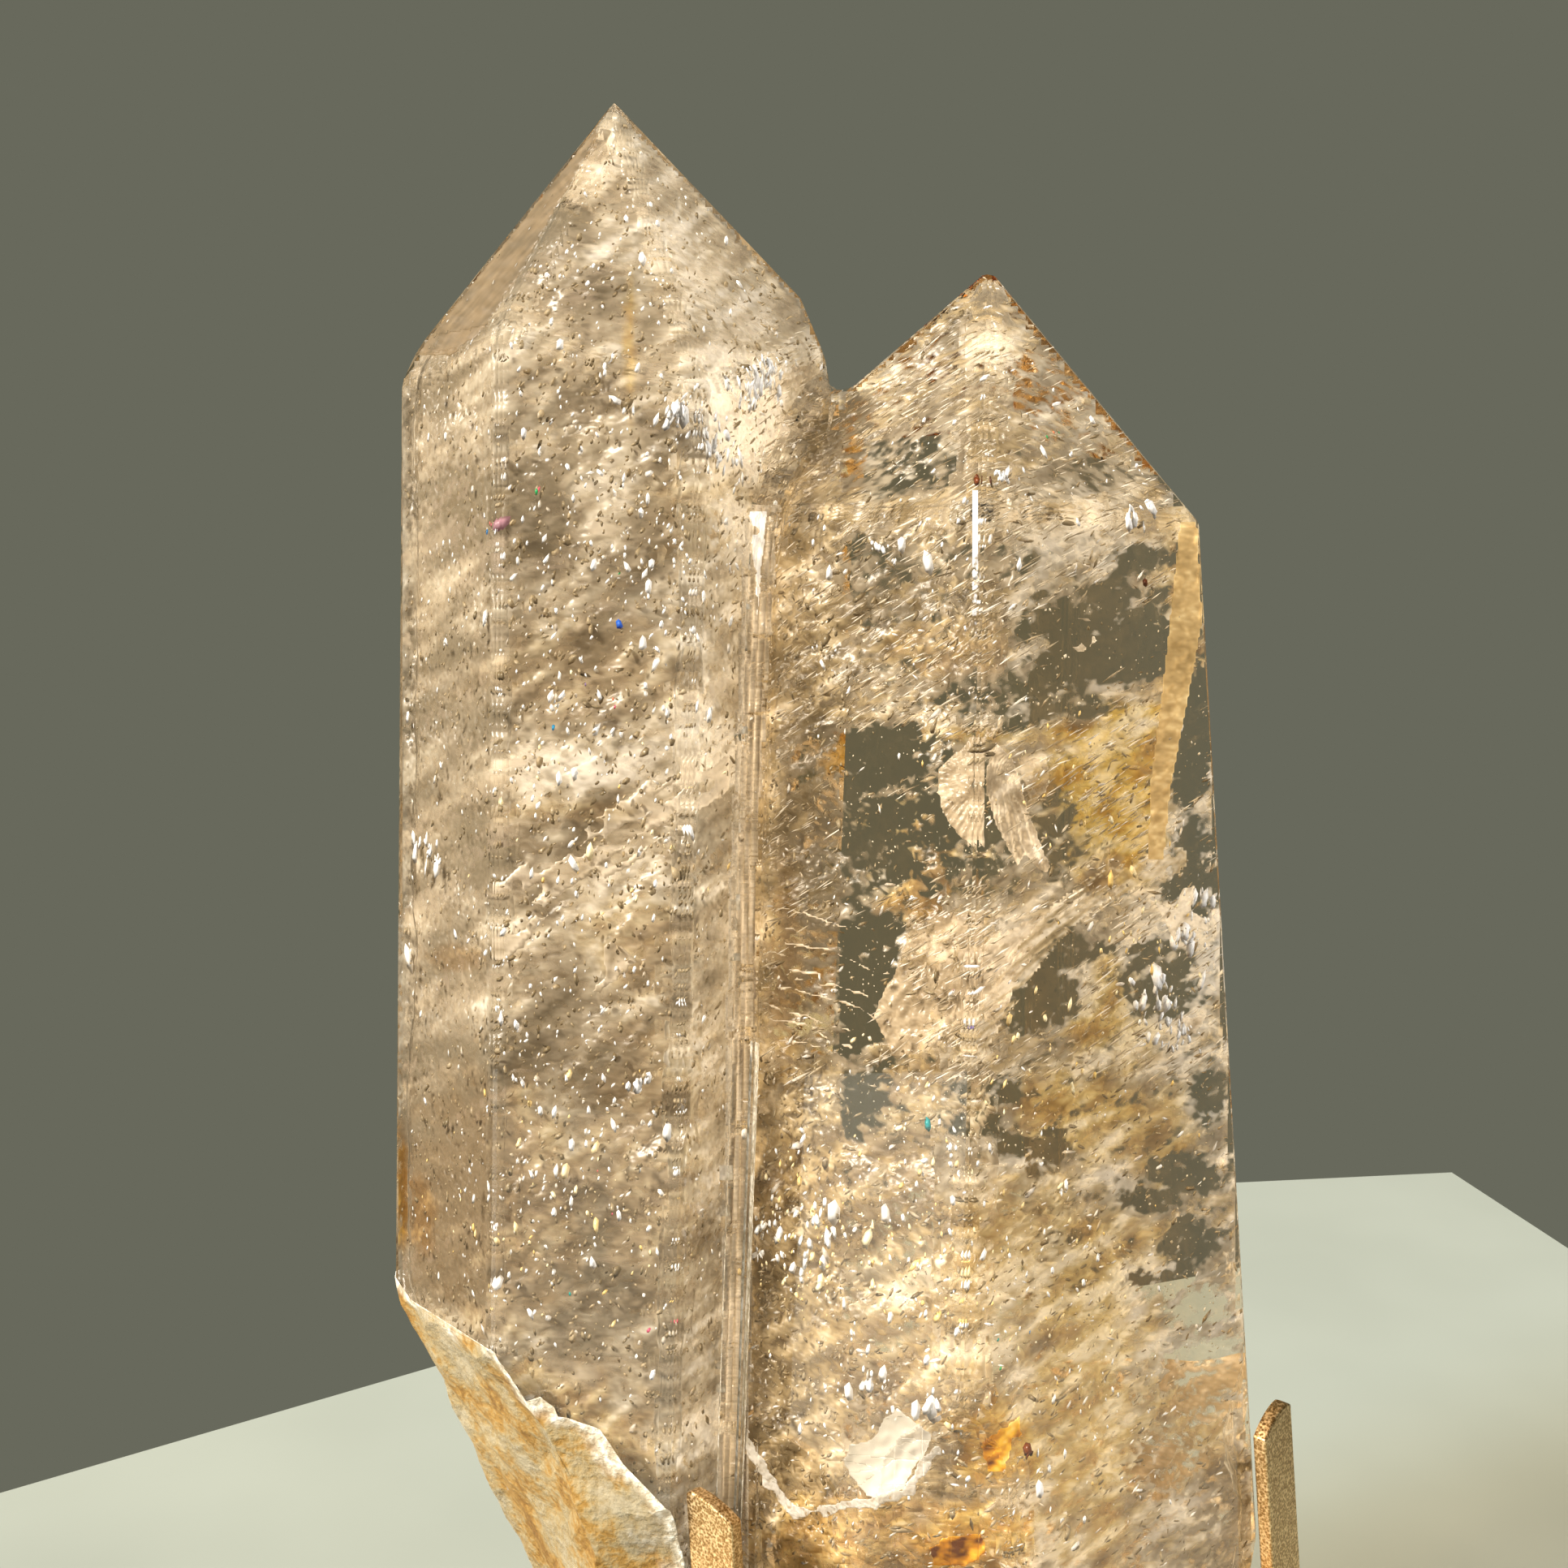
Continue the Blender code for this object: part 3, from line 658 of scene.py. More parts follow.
def curtain(name, view, region, step, depth_of, keep, material, stain_of=None, full_of=None,
            thickness=0.08, join=3.5, trim=0, tone_of=flowing_tone):
    """A crinkled sheet seen in a stretch of the picture: left, right, top and bottom.

    step is in picture points; thickness and join, the longest side of a square, are in mm.
    """
    left, right, top, bottom = region
    columns = max(2, int((right - left) / step))
    rows = max(2, int((bottom - top) / step))
    bm = bmesh.new()
    bmesh.ops.create_grid(bm, x_segments=columns, y_segments=rows, size=0.5)
    layers = {key: bm.verts.layers.float.new(key) for key in ("tone", "stain", "full")}
    seen = {}
    for vert in bm.verts:
        px = left + (vert.co.x + 0.5) * (right - left)
        py = top + (0.5 - vert.co.y) * (bottom - top)
        full = full_of(px, py) if full_of else 1.0
        line = view.sight(px, py) if full > THINNEST and keep(px, py) else None
        if line is None:
            continue
        entry, way, reach, normal = line
        depth = min(depth_of(px, py) * MM, HALFWAY * reach)
        if depth < SHALLOWEST:
            continue
        seen[vert] = (px, py, entry, normal, depth)
        vert.co = entry + way * depth
        # painted light and shade, by the way the facet turns
        vert[layers["tone"]] = tone_of(px, py) + PAINTED_SIDE_LIGHT * normal.x
        vert[layers["stain"]] = stain_of(px, py) if stain_of else 0.0
        vert[layers["full"]] = full
    drop(bm, carry_past_edges(bm, view, seen, layers, join))
    for _ in range(trim):
        rim = [v for v in bm.verts if v.is_boundary]
        bmesh.ops.smooth_vert(bm, verts=rim, factor=0.5, use_axis_x=True, use_axis_y=True,
                              use_axis_z=True)
    bm.normal_update()
    add_second_side(bm, thickness)
    bmesh.ops.triangulate(bm, faces=bm.faces[:])
    for face in bm.faces:
        face.smooth = True
    obj = finish_mesh(bm, name)
    obj.visible_shadow = False
    return wear(obj, material)


def seam_at(py):
    """Where the two points meet: the picture's x of the notch and of the groove below it."""
    return float(np.interp(py, [330, 470, 640, 1100, 1900], [1045, 1030, 945, 922, 912]))


OVERLAP = 8  # the sheets of the two points pass each other by so many picture points


def at_left(px, py):
    return px < seam_at(py) + OVERLAP


def at_right(px, py):
    return px > seam_at(py) - OVERLAP


# %% The left point's cream
LEFT_REGION = (478, 1050, 120, 2500)


def left_depth(px, py):
    wide = ripple_at(px, py, 110.0, 4.0)
    middle = streaks(px, py, 35, 60.0, 20.0, 8.0)
    fine = streaks(px, py, 38, 22.0, 11.0, 0.0)
    return 4.5 + 2.5 * wide + 0.6 * middle + 0.3 * fine


def left_full(px, py):
    flow = 0.22 * streaks(px, py, 35, 90.0, 26.0, 2.0) + 0.12 * streaks(px, py, 38, 26.0, 12.0, 6.0)
    return 0.6 + flow - 0.5 * clearness(px, py)


curtain("cream_left_near", front, LEFT_REGION, 6.5, left_depth, at_left, milky, stained, left_full)
curtain("cream_left_far", front, LEFT_REGION, 9, lambda px, py: left_depth(px + 300, py) + 4.0,
        at_left, milky, stained)
curtain("wisps_left", front, LEFT_REGION, 9,
        lambda px, py: 2.4 + 0.8 * ripple_at(px, py, 80.0, 2.0), at_left, silky, stained,
        lambda px, py: 0.26 + 0.5 * streaks(px, py, 35, 150.0, 36.0, 21.0))


# %% The groove's stripes
def stripe_tone(px, py):
    across = px - seam_at(py)
    ruled = noise.noise(Vector((across / 3.5, py / 260, 2.0)))
    return 0.62 + 0.9 * ruled + 0.2 * ripple_at(px, py, 40.0, 8.0)


def in_groove(px, py):
    half = float(np.interp(py, [620, 1000, 1900], [22, 18, 20]))
    return abs(px - seam_at(py) + 8) < half


curtain("groove_stripes", front, (870, 990, 622, 2500), 4, lambda px, py: 0.8, in_groove, striated,
        None, lambda px, py: 0.62 + 0.3 * ripple_at(px, py, 30.0, 3.0), tone_of=stripe_tone)

# %% The right point's veils
RIGHT_REGION = (900, 1570, 330, 2500)


def right_depth(px, py):
    wide = ripple_at(px, py, 90.0, 14.0)
    fibre = streaks(px, py, 28, 60.0, 12.0, 1.0)
    return 4.5 + 2.5 * wide + 1.0 * fibre + 0.3 * streaks(px, py, 28, 24.0, 7.0, 0.0)


def right_full(px, py, seed=4.0, most=0.46, opening=0.7):
    flow = 0.26 * streaks(px, py, 28, 80.0, 16.0, seed) + 0.14 * ripple_at(px, py, 22.0, seed)
    beside_groove = 0.16 if px < GROOVE_FACET else 0.0
    return most + beside_groove + flow - opening * clearness(px, py)


curtain("veils_right_near", front, RIGHT_REGION, 7, right_depth, at_right, stringy, stained,
        right_full)
curtain("veils_right_far", front, RIGHT_REGION, 9.5,
        lambda px, py: right_depth(px - 200, py) + 5.0, at_right, milky, stained,
        lambda px, py: right_full(px, py, 11.0, 0.68, 0.56))
ROPE = [(1446, 1060), (1400, 1074), (1350, 1098), (1310, 1128), (1276, 1168), (1240, 1220),
        (1190, 1300)]
curtain("rope_veil", front, (1150, 1470, 1040, 1330), 4,
        lambda px, py: 2.6 + 0.5 * streaks(px, py, 38, 80.0, 7.0, 4.0),
        lambda px, py: beside(px, py, ROPE, 20), stringy, stained,
        lambda px, py: 0.55 + 0.4 * streaks(px, py, 38, 90.0, 6.0, 7.0),
        tone_of=lambda px, py: 0.6 + 0.7 * streaks(px, py, 38, 90.0, 5.0, 7.0))


# %% [markdown]
# ## Veils seen from behind
# The photograph doesn't show the back, but a point this cloudy isn't clear there. Two more eyes,
# behind it at the left and at the right, lay coarser veils under the back facets: all the way up in
# the left point, and only at the foot of the right one, so that its front windows stay dark.

# %% Back veils
BACK_REGION = (400, 1540, 60, 2560)
behind_left = View((-165.0, 180.0, 150.0), 137.5, 0.0)
behind_right = View((165.0, 180.0, 150.0), -137.5, 0.0)


def back_depth(px, py):
    middle = streaks(px, py, -30, 60.0, 20.0, 28.0)
    return 4.5 + 2.5 * ripple_at(px, py, 110.0, 24.0) + 0.6 * middle


def back_full(px, py):
    flow = streaks(px, py, -30, 110.0, 30.0, 22.0)
    return 0.62 + 0.3 * flow + 0.12 * ripple_at(px, py, 26.0, 26.0)


def back_tone(px, py):
    flow = streaks(px, py, -33, 90.0, 24.0, 35.0)
    return 0.45 + 0.35 * ripple_at(px, py, 70.0, 31.0) + 0.4 * flow


curtain("cream_back_left", behind_left, BACK_REGION, 11, back_depth, lambda px, py: px > 1000,
        milky, None, back_full, tone_of=back_tone)
curtain("veils_back_right", behind_right, BACK_REGION, 11, back_depth, lambda px, py: py > 1640,
        stringy, None, back_full, tone_of=back_tone)


# %% [markdown]
# ## Single fractures
# Some flat cracks stand out: two feathers, a large pale one, a satin one at the foot and a few
# more. Each has its own outline in the picture, and its ridges run out from one point. The same
# builder also lays a painted reflection and painted highlights.

# %% Fracture builder
def fracture(name, outline, depth, stem, material, ridges=44, relief=0.16, lean=(0.0, 0.0),
             wobble=3.0, step=2.6, tone_of=flowing_tone):
    """A crack face; depth in mm, lean in mm of depth for each 100 picture points right and down."""
    xs = [x for x, _ in outline]
    ys = [y for _, y in outline]

    def depth_of(px, py):
        angle = math.atan2(py - stem[1], px - stem[0])
        away = math.hypot(px - stem[0], py - stem[1])
        ridge = math.sin(angle * ridges + 2.0 * ripple_at(px, py, 30.0, 11.0)) * min(1.0, away / 40.0)
        leaning = lean[0] * (px - stem[0]) / 100 + lean[1] * (py - stem[1]) / 100
        return depth + relief * ridge + leaning + 0.3 * ripple_at(px, py, 12.0, 1.0)

    def keep(px, py):
        shift = wobble * ripple_at(px, py, 9.0, 12.0)
        return inside(px + shift, py + shift, outline)

    region = (min(xs) - 6, max(xs) + 6, min(ys) - 6, max(ys) + 6)
    return curtain(name, front, region, step, depth_of, keep, material, None, None, 0.06, 2.0, 3,
                   tone_of)


fracture("feather_left", [
        (1203, 900), (1176, 925), (1156, 946), (1153, 975), (1157, 998), (1167, 1015),
        (1180, 1032), (1203, 1050)], 3.2, (1215, 960), pale)
fracture("feather_right", [
        (1226, 909), (1213, 944), (1213, 975), (1222, 1009), (1238, 1044), (1257, 1075),
        (1262, 1055), (1276, 1071), (1291, 1080), (1297, 1067), (1288, 1048),
        (1278, 1021), (1268, 998), (1261, 967), (1249, 932)], 3.0, (1222, 900), pale,
        70, 0.3, lean=(1.5, 0.0))
fracture("feather_lobe", [
        (1251, 934), (1265, 928), (1290, 929), (1295, 948), (1293, 975), (1278, 988),
        (1268, 993), (1262, 971), (1255, 952)], 4.2, (1250, 925), pale)
fracture("pale_face_left", [
        (1112, 1152), (1118, 1144), (1154, 1124), (1197, 1118), (1196, 1248), (1154, 1296),
        (1098, 1304), (1074, 1252), (1082, 1228), (1106, 1184), (1114, 1164)],
        4.5, (1190, 1130), pale, 60, 0.1)
fracture("pale_face_right", [
        (1202, 1184), (1210, 1160), (1234, 1148), (1270, 1128), (1292, 1124),
        (1286, 1160), (1266, 1196), (1250, 1216), (1246, 1240), (1226, 1268),
        (1202, 1272)], 4.0, (1290, 1120), pale, 60, 0.1)
fracture("angular_flake", [
        (720, 1227), (745, 1200), (740, 1165), (752, 1157), (772, 1167), (790, 1186),
        (765, 1205), (740, 1225)], 2.2, (760, 1160), silky, 12, 0.1)
fracture("satin_face", [
        (1108, 1732), (1127, 1749), (1150, 1766), (1146, 1787), (1127, 1812), (1117, 1837),
        (1083, 1849), (1066, 1845), (1046, 1820), (1035, 1799), (1044, 1778), (1075, 1770),
        (1088, 1745)], 0.6, (1060, 1760), satin, 8, 0.03,
         tone_of=lambda px, py: 0.05 + ((px - 1040) + (py - 1740)) / 200)
fracture("orange_wedge", [
        (1206, 1778), (1229, 1762), (1258, 1741), (1262, 1772), (1250, 1774),
        (1246, 1799), (1233, 1816), (1217, 1816)], 0.7, (1260, 1740), amber, 6, 0.2)
fracture("yellow_wedge", [
        (1142, 1907), (1167, 1891), (1212, 1887), (1219, 1916), (1192, 1931),
        (1150, 1931)], 0.7, (1215, 1890), amber, 6, 0.2)
fracture("ragged_plate", [
        (1416, 1104), (1446, 1120), (1454, 1092), (1474, 1088), (1470, 1120), (1494, 1136),
        (1490, 1152), (1458, 1140), (1450, 1172), (1438, 1148)], 1.6, (1440, 1140), pale)
fracture("gold_plate", [
        (1452, 1252), (1490, 1248), (1484, 1266), (1462, 1282), (1450, 1280),
        (1458, 1266)], 1.4, (1450, 1282), pale, 14, 0.3)
fracture("small_plate_a", [
        (1325, 758), (1345, 760), (1347, 769), (1328, 765)], 3.0, (1330, 760), pale)
fracture("small_plate_b", [
        (1318, 797), (1332, 789), (1342, 797), (1338, 806), (1324, 805)], 3.0,
        (1318, 797), pale)
fracture("small_plate_c", [
        (1343, 782), (1350, 778), (1353, 790), (1346, 806), (1342, 800)], 3.4,
        (1345, 780), pale)
fracture("small_plate_d", [
        (1322, 908), (1335, 904), (1346, 907), (1338, 914), (1325, 913)], 3.0,
        (1322, 908), pale)

# %% Ladder lines and the silky band
LADDERS = (
    [(938, 1116), (986, 1124), (1030, 1140), (1060, 1142)],
    [(966, 1162), (1002, 1168), (1022, 1170), (1050, 1184), (1074, 1196), (1094, 1200)],
    [(938, 1216), (978, 1218), (1010, 1228), (1034, 1234), (1058, 1240), (1078, 1256)],
    [(934, 1234), (954, 1240), (970, 1248), (994, 1252), (1022, 1264), (1046, 1268)],
    [(940, 1190), (975, 1196), (1010, 1200)],
    [(960, 1282), (1000, 1286), (1040, 1300)],
    [(944, 1140), (980, 1146)],
    [(948, 1256), (990, 1262), (1020, 1280), (1050, 1290)],
    [(980, 1206), (1010, 1212), (1036, 1216), (1070, 1228)],
    [(946, 1172), (966, 1178)],
)


def ladder_keep(px, py):
    half = 2.8 + 2.6 * ripple_at(px, py, 16.0, 9.0)
    return any(beside(px, py + 3 * ripple_at(px, py, 12.0, 2.0), path, half) for path in LADDERS)


curtain("ladder_lines", front, (930, 1104, 1104, 1310), 2.4,
        lambda px, py: 1.5 + 0.4 * ripple_at(px, py, 20.0, 1.0), ladder_keep, pale,
        None, None, 0.06, 2.0, 2, lambda px, py: 0.75)

BAND = [(612, 1135), (640, 1110), (760, 1040), (860, 960), (960, 880), (1060, 800)]


def band_keep(px, py):
    half = 42 + 16 * ripple_at(px, py, 60.0, 3.0)
    return px < 900 and beside(px, py, BAND, half) and streaks(px, py, 35, 80.0, 7.0, 3.0) > -0.3


curtain("silky_band", front, (612, 905, 850, 1240), 5,
        lambda px, py: 3.0 + 0.8 * ripple_at(px, py, 50.0, 1.0) + 0.4 * streaks(px, py, 35, 60.0, 6.0, 8.0),
        band_keep, silky, stained, lambda px, py: 0.8, trim=2,
        tone_of=lambda px, py: 0.85 + 0.5 * streaks(px, py, 36, 120.0, 7.0, 9.0))
# A painted reflection, not a crack: a tan sheet under the left pyramid's side facet stands in for the far
# wall mirrored in it.
fracture("painted_reflection_side", [
        (745, 132), (700, 175), (616, 262), (478, 400), (478, 440), (557, 440), (600, 405),
        (648, 330), (672, 285), (700, 235), (735, 175)], 1.2, (500, 400), painted_reflection, 3, 0.03)
fracture("tan_strip", [
        (1452, 640), (1492, 640), (1488, 740), (1474, 820), (1444, 975), (1436, 1062),
        (1412, 1062), (1416, 960), (1430, 850), (1442, 740)], 0.9, (1440, 400),
         strip, 3, 0.0, wobble=0.0)
# Painted highlights: white sheets along the right point's front edge, fading downwards, and at the top of the
# groove, where polished edges catch the light.
curtain("painted_edge_highlight_sheet", front, (1188, 1210, 604, 1100), 1.6, lambda px, py: 0.5,
        lambda px, py: abs(px - 1201) < 4.5 - 2.4 * (py - 604) / 500, painted_highlight, None,
        lambda px, py: 0.84 - 1.5 * (py - 604) / 500)
fracture("painted_groove_highlight", [
        (922, 628), (946, 628), (940, 700), (934, 780), (928, 700)], 0.4, (938, 600), painted_white_glint,
        3, 0.0, step=1.8)
BRUISE = [(917, 1770), (940, 1812), (979, 1866), (1037, 1857), (1075, 1852), (1117, 1837), (1150, 1787)]
curtain("bruised_line", front, (900, 1170, 1750, 1885), 2.4, lambda px, py: 0.5,
        lambda px, py: beside(px, py, BRUISE, 8.0 + 9.0 * ripple_at(px, py, 16.0, 9.0)), chalky, None,
        lambda px, py: 0.68, 0.06, 2.0, 2)


# %% [markdown]
# ## Loose flakes
# Between the veils hang small separate flakes, thicker in the clouds and rare in the windows.

# %% Scatter
FLAT = 0.12  # millimetres of thickness for a flake of size 1
TRIES = 8  # random points looked at for each flake
SPARSER_RIGHT = 0.6  # the right point holds fewer flakes than the left one
SEAM = 960  # and it starts at this x of the picture


def scatter(count, view, region, nearest, mean_depth, sparse=0.97):
    """Random places inside, richer where the map says so."""
    left, right, top, bottom = region
    found = []
    for _ in range(count * TRIES):
        px, py, chance, share = rng.uniform(0, 1, 4)
        px = left + (right - left) * px
        py = top + (bottom - top) * py
        full = 1.0 if px < SEAM else SPARSER_RIGHT
        if chance > full * (1 - sparse * clearness(px, py)):
            continue
        line = view.sight(px, py)
        if line is None:
            continue
        entry, way, reach, _ = line
        depth = nearest - math.log(1 - share * 0.98) * mean_depth
        if depth < reach - nearest:
            found.append(entry + way * depth)
        if len(found) == count:
            break
    return np.array(found)


def under_the_skin(centres, size, reach):
    """Leaves out flakes that would stick out of the crystal; reach is how far one of size 1 goes."""
    whole = [shell.find_nearest(Vector(c))[3] > reach * s for c, s in zip(centres, size)]
    return centres[whole], size[whole]


def cloud(name, count, region, length, width, material, nearest=0.8, mean_depth=4.0, flow=(0.3, 0.0, 1.0),
          sparse=0.97, spread=0.55):
    centres = scatter(count, front, region, nearest * MM, mean_depth * MM, sparse)
    centres, size = under_the_skin(centres, rng.lognormal(0, 0.35, len(centres)) * MM, 0.6 * length)
    count = len(centres)
    along = unit(rng.normal(0, spread, (count, 3)) + np.array(flow))
    facing = unit(rng.normal(0, 1, (count, 3)) + np.array((-0.4, -0.8, 0.4)))
    obj = plates(name, centres, along, facing, size * length, size * width, size * FLAT)
    return wear(obj, material)


TO_THE_SUN = np.array((-0.5, -0.8, 0.45))
UPWARDS = np.array((0.1, 0.0, 1.0))


def cluster(name, spots, length, width, material):
    """Flakes gathered round given points of the picture: middle x, middle y, spread and count."""
    centres = []
    for x, y, spread, many in spots:
        for _ in range(many):
            px, py = rng.normal(0, spread, 2) + (x, y)
            line = front.sight(px, py)
            if line is not None:
                depth = min(rng.uniform(0.7, 2.0) * MM, HALFWAY * line[2])
                centres.append(line[0] + line[1] * depth)
    centres = np.array(centres)
    centres, size = under_the_skin(centres, rng.lognormal(0, 0.55, len(centres)) * MM, 0.3 * length)
    count = len(centres)
    along = unit(rng.normal(0, 0.3, (count, 3)) + UPWARDS)
    facing = unit(rng.normal(0, 0.35, (count, 3)) + TO_THE_SUN)
    obj = plates(name, centres, along, facing, size * length, size * width, size * FLAT)
    return wear(obj, material)


# Flakes turned to the sun catch real reflections, and their white and golden colours paint more glint.
cluster("glints", [
        (700, 600, 120, 230), (680, 900, 110, 170), (660, 1200, 100, 170), (660, 1480, 95, 220),
        (760, 340, 70, 100), (840, 700, 60, 90), (1100, 700, 90, 50), (1280, 560, 70, 60),
        (1100, 1480, 90, 110), (1280, 1500, 80, 60), (1120, 1680, 120, 120), (1350, 1750, 80, 50)],
        0.62, 0.3, painted_white_glint)
cluster("painted_glint_patches", [
        (945, 460, 14, 60), (925, 490, 10, 20), (838, 508, 9, 22), (878, 545, 14, 30),
        (905, 575, 12, 16), (780, 1342, 7, 10), (524, 1042, 9, 16), (535, 1065, 6, 6),
        (928, 1510, 18, 22), (985, 1540, 22, 22), (1030, 1500, 14, 10), (1085, 680, 8, 8),
        (1150, 1730, 8, 8), (1076, 1700, 10, 12), (1468, 1150, 12, 30), (1452, 1268, 14, 40),
        (1420, 1215, 20, 16), (1480, 1100, 8, 12),
        (1232, 590, 6, 8), (870, 880, 8, 8), (1400, 640, 10, 8)],
        1.4, 0.75, painted_white_glint)
cluster("gold_glints", [
        (980, 1530, 50, 70), (1120, 1500, 90, 70), (1250, 1620, 90, 60), (1430, 1160, 40, 40),
        (1300, 1330, 70, 40), (680, 1480, 100, 70), (760, 1000, 90, 40), (1300, 960, 50, 30)],
        0.7, 0.35, painted_gold_glint)
cluster("rainbow_flecks", [
        (605, 650, 6, 4), (662, 605, 2, 2), (1298, 535, 6, 3), (760, 800, 60, 6),
        (700, 1580, 60, 5), (1250, 1690, 40, 4), (1140, 1330, 60, 4)],
        0.7, 0.4, rainbow)
cluster("brown_seeds", [
        (1205, 590, 3, 2), (1222, 590, 2, 1), (1411, 717, 2, 2), (1265, 1790, 6, 5)],
        1.2, 0.9, rusty)
cloud("flakes_left", 8000, LEFT_REGION, 0.8, 0.45, flaky)
cloud("flakes_right", 6000, RIGHT_REGION, 1.1, 0.35, flaky, flow=(1.0, 0.2, 0.5))
cloud("fibres_right", 3500, (940, 1570, 400, 1330), 2.2, 0.13, fibrous, mean_depth=2.5, flow=(2.0, 0.2, 1.05),
      sparse=2.0, spread=0.2)
cloud("dust_right", 4200, (930, 1510, 520, 1720), 0.26, 0.16, dusty, mean_depth=5.0, sparse=0.2)


# %% [markdown]
# ## The natural root
# Where the polishing stopped, the crystal keeps its natural skin: a matt, iron-stained crust, with
# a chalk-white bruised line along the edge of the polish. The skin is a copy of the broken faces at
# the crystal's foot, made finer and given a thickness.

# %% Crust material
crust, tree = new_material("iron_stained_crust")
place = add(tree, "TexCoord").outputs["Object"]
patches = add(tree, "TexNoise", {"Vector": place, "Scale": per_metre(9.0), "Detail": 4.0, "Roughness": 0.6})
pits = add(tree, "TexNoise", {"Vector": place, "Scale": per_metre(1.1), "Detail": 3.0, "Roughness": 0.6})
shade = add(tree, "Mix", {0: 0.3, 2: patches.outputs["Fac"], 3: pits.outputs["Fac"]}, data_type="FLOAT")
ochre = add(tree, "ValToRGB", {"Fac": shade.outputs[0]},
            [(0.38, "#7E5A24"), (0.45, "#9E7A3C"), (0.52, "#A8946A"), (0.62, "#BAAE90")]).outputs["Color"]
chalk = add(tree, "ValToRGB", {"Fac": pits.outputs["Fac"]},
            [(0.35, "#9E9078"), (0.5, "#BEB4A0"), (0.65, "#E0DACE")]).outputs["Color"]
rim = add(tree, "Attribute", attribute_name="rim").outputs["Fac"]
skin = add(tree, "Mix", {0: rim, 6: ochre, 7: chalk}, data_type="RGBA")
bump = add(tree, "Bump", {"Height": pits.outputs["Fac"], "Strength": 0.6, "Distance": 0.0008})
matt = add(tree, "BsdfPrincipled", {
    "Base Color": skin.outputs[2],
    "Roughness": 0.5,
    "Normal": bump.outputs["Normal"],
})
thin = add(tree, "MapRange", {"Value": patches.outputs["Fac"], "From Min": 0.4, "From Max": 0.6,
                              "To Min": 0.75, "To Max": 0.35})
cover = add(tree, "Math", {0: thin.outputs["Result"], 1: rim}, operation="MAXIMUM")
bare = add(tree, "BsdfTransparent")
skin_or_bare = add(tree, "MixShader", {"Fac": cover.outputs[0], 1: bare.outputs[0], 2: matt.outputs[0]})
finish_material(tree, skin_or_bare.outputs[0])


# %% The root's faces
FACET_AREA = 40 * MM * MM  # a larger upright face is a polished facet
SMALL_AREA = 20 * MM * MM
UPRIGHT = 0.08  # an upright face's normal points up or down by less than this
UNDERSIDE = -0.98
ROOT_TOP = 96 * MM
ROOT_RIGHT = -9 * MM
LONGEST_EDGE = 1.2 * MM

bm = bmesh.new()
bm.from_mesh(body.data)
bmesh.ops.remove_doubles(bm, verts=bm.verts, dist=1e-7)
facets = [(face.calc_center_median(), face.normal.copy()) for face in bm.faces
          if face.calc_area() > FACET_AREA and abs(face.normal.z) < UPRIGHT]


def is_root(face):
    """Neither the flat underside, nor in the plane of a facet, nor an upright groove wall."""
    middle = face.calc_center_median()
    polished = any(face.normal.dot(n) > 0.999 and abs((middle - p).dot(n)) < 0.05 * MM
                   for p, n in facets)
    return face.normal.z > UNDERSIDE and not polished and abs(face.normal.z) > 0.03


near_root = [f for f in bm.faces if f.calc_center_median().z < ROOT_TOP
             and f.calc_center_median().x < ROOT_RIGHT and f.normal.z > UNDERSIDE]
root = {f for f in near_root if is_root(f)}
for _ in range(4):  # small faces with root on two sides belong to it
    for face in near_root:
        around = [f for edge in face.edges for f in edge.link_faces if f != face]
        small = face not in root and face.calc_area() < SMALL_AREA
        if small and sum(f in root for f in around) > 1:
            root.add(face)
print("root faces", len(root))

# %% Root skin
drop(bm, [f for f in bm.faces if f not in root])
for _ in range(2):
    bmesh.ops.subdivide_edges(bm, edges=[e for e in bm.edges if e.calc_length() > LONGEST_EDGE],
                              cuts=1, use_grid_fill=True)
bmesh.ops.triangulate(bm, faces=bm.faces[:])
rim_layer = bm.verts.layers.float.new("rim")
edge_points = [v.co.copy() for v in bm.verts if v.is_boundary and v.co.z > 14 * MM]
edge_tree = KDTree(len(edge_points))
for k, point in enumerate(edge_points):
    edge_tree.insert(point, k)
edge_tree.balance()
bm.normal_update()
for vert in bm.verts:  # the rim is 1 at the edge of the polish and fades out within 2 to 4 mm
    away = edge_tree.find(vert.co)[2] / MM
    rough_edge = 1.6 + 1.8 * noise.fractal(vert.co / (6 * MM), 1.0, 2.0, 3)
    vert[rim_layer] = min(1.0, max(0.0, 1.5 - away / max(0.4, 1.3 * rough_edge)))
lifted = {v: v.co + v.normal * MM * (0.17 + 0.08 * noise.noise(v.co / (1.5 * MM)))
          for v in bm.verts}
for vert, to in lifted.items():
    vert.co = to
add_second_side(bm, 0.07)
wear(finish_mesh(bm, "root_crust"), crust)


# %% [markdown]
# ## Floor, backdrop and lamps
# A pale table top whose far edges lie as in the picture, a grey-olive surrounding and four soft
# lamps: a warm one from the front left and above, as the sun stood, two fainter ones to fill and
# one behind for the rims. A lamp's disk seen through the stone would be a plain white patch, so
# the stone lets their light through but doesn't show them.

# %% Table
TABLE = [(-176, 97), (78, 277), (227, 296), (245, 120), (260, -420), (-520, -420), (-520, -140)]
TABLE_THICK = 0.02
bm = bmesh.new()
bmesh.ops.contextual_create(bm, geom=[bm.verts.new((x * MM, y * MM, 0.0)) for x, y in TABLE])
down = bmesh.ops.extrude_face_region(bm, geom=bm.faces[:])
bmesh.ops.translate(bm, vec=(0, 0, -TABLE_THICK),
                    verts=[v for v in down["geom"] if isinstance(v, bmesh.types.BMVert)])
bmesh.ops.recalc_face_normals(bm, faces=bm.faces)
table = finish_mesh(bm, "table")
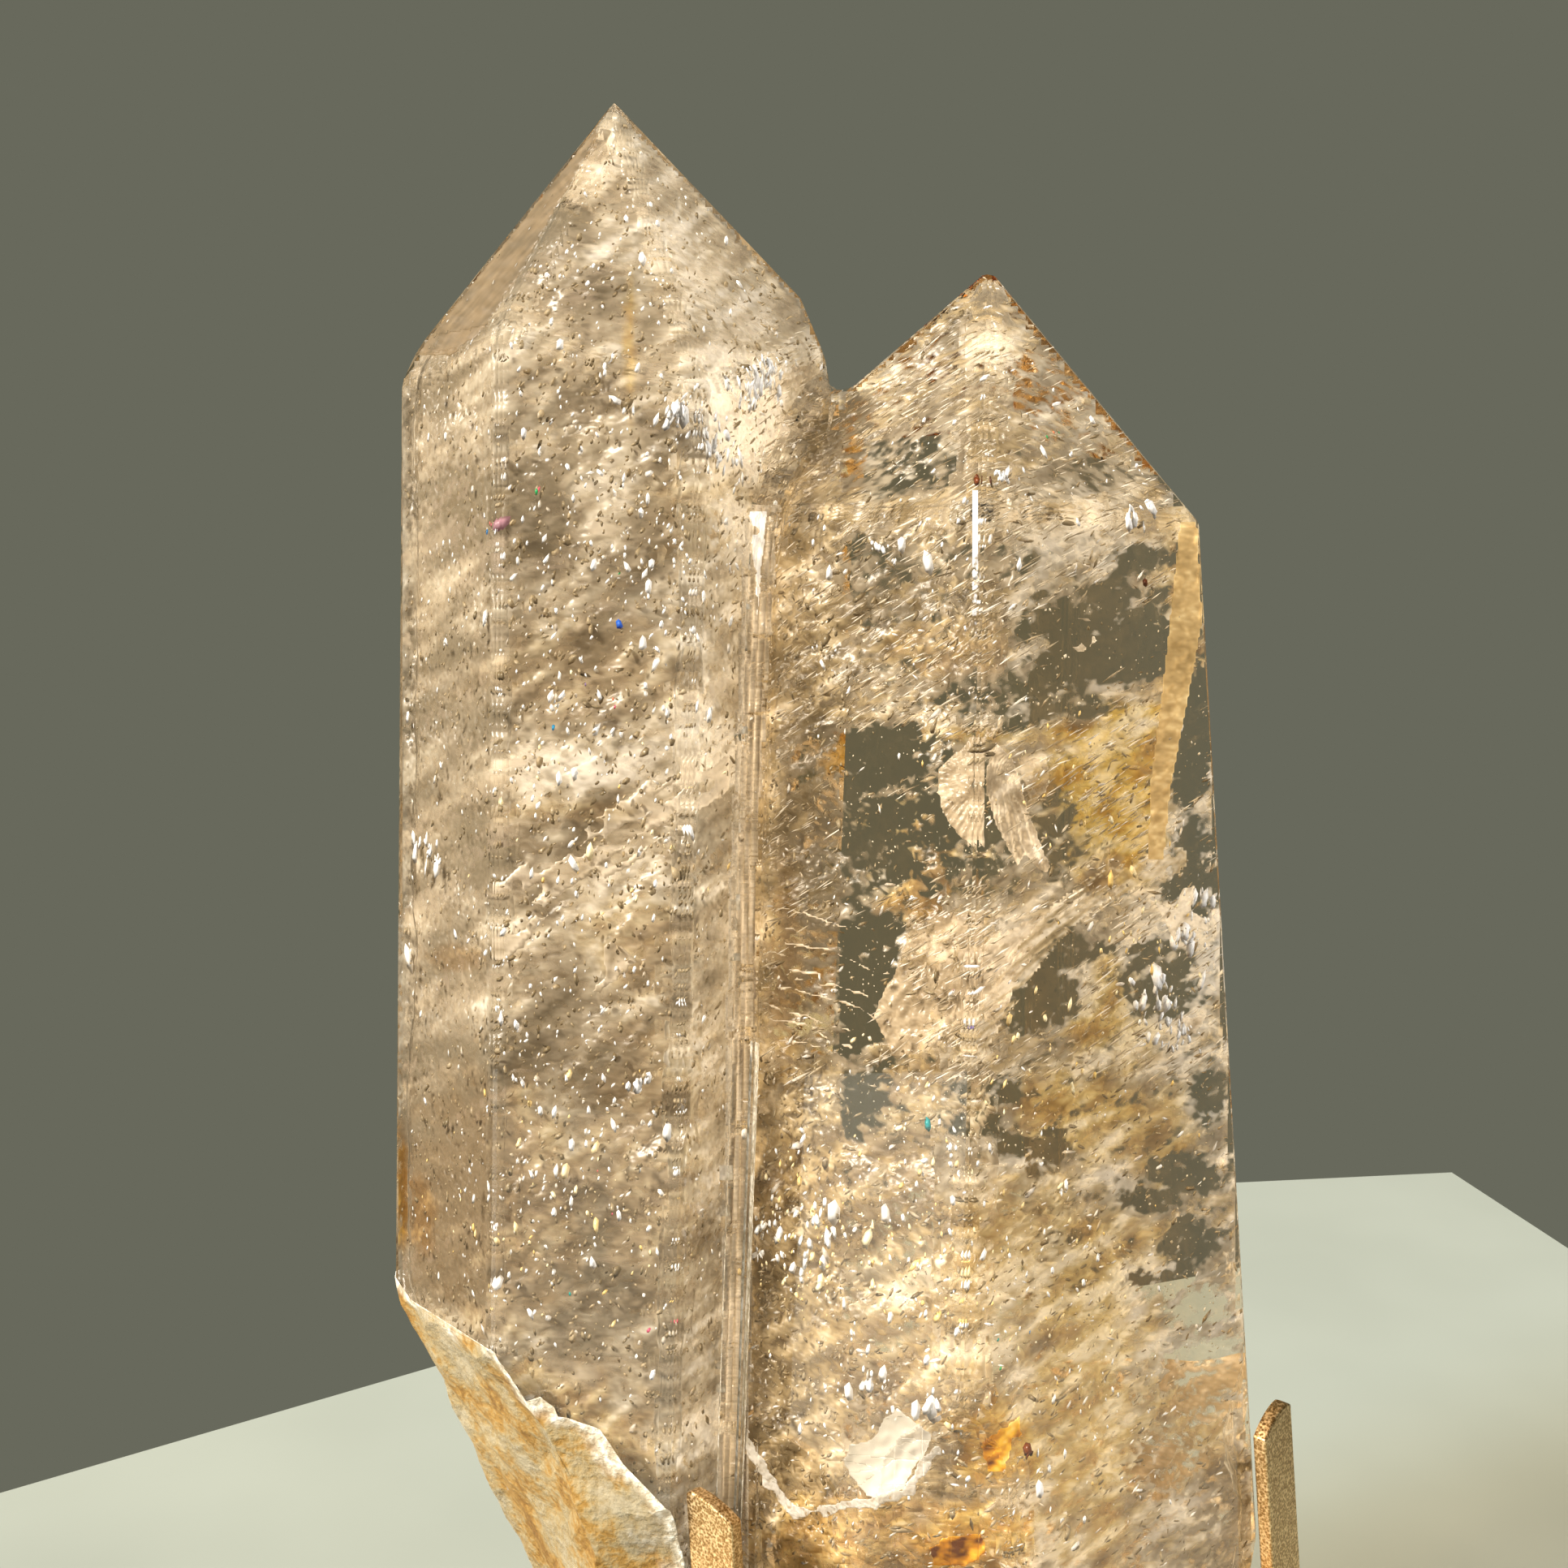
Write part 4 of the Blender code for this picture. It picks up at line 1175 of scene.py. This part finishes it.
# Matt wall paint on board: plain and pale, with a drift of shade too faint to name.
table_paint, tree = new_material("pale_table_paint")
place = add(tree, "TexCoord").outputs["Object"]
drift = add(tree, "TexNoise", {"Vector": place, "Scale": per_metre(60.0), "Detail": 2.0})
paint = add(tree, "BsdfPrincipled", {
    "Base Color": add(tree, "ValToRGB", {"Fac": drift.outputs["Fac"]},
                      [(0.3, "#83887F"), (0.7, "#888D84")]).outputs["Color"],
    "Roughness": 0.6,
})
finish_material(tree, paint.outputs[0])
table.data.materials.append(table_paint)

# %% Surroundings and lamps
MIDDLE = Vector((0, 0, 0.13))  # what every lamp is aimed at
world = bpy.data.worlds.new("surroundings")
world.use_nodes = True
background = world.node_tree.nodes["Background"]
background.inputs["Color"].default_value = colour("#68695C")
background.inputs["Strength"].default_value = 1.0
bpy.context.scene.world = world


def lamp(name, place, size, watts, code, in_gloss=True):
    """A round soft lamp; its place and width in metres."""
    data = bpy.data.lights.new(name, "AREA")
    data.shape = "DISK"
    data.size = size
    data.energy = watts
    data.color = colour(code)[:3]
    obj = into_scene(name, data)
    obj.location = place
    obj.visible_glossy = in_gloss
    obj.visible_transmission = False
    obj.rotation_euler = (MIDDLE - Vector(place)).to_track_quat("-Z", "Y").to_euler()


lamp("sun_side", (-1.9, -0.95, 1.45), 0.5, 210.0, "#FFF8EE")
lamp("fill_front", (0.25, -1.5, 0.5), 1.6, 18.0, "#FFFAF4", in_gloss=False)
lamp("fill_right", (1.4, -0.5, 0.7), 1.0, 40.0, "#FFFAF4", in_gloss=False)
lamp("rim_back", (0.3, 1.5, 1.2), 0.8, 16.0, "#FFFAF4", in_gloss=False)


# %% Render settings that clear stone needs
scene = bpy.context.scene
scene.view_settings.view_transform = "Standard"
scene.cycles.max_bounces = 12
scene.cycles.transmission_bounces = 14
scene.cycles.transparent_max_bounces = 16
scene.cycles.diffuse_bounces = 2
scene.cycles.glossy_bounces = 4
scene.cycles.caustics_reflective = False
scene.cycles.caustics_refractive = False
scene.cycles.sample_clamp_indirect = 4.0
print("up to", scene.cycles.max_bounces, "bounces of light")
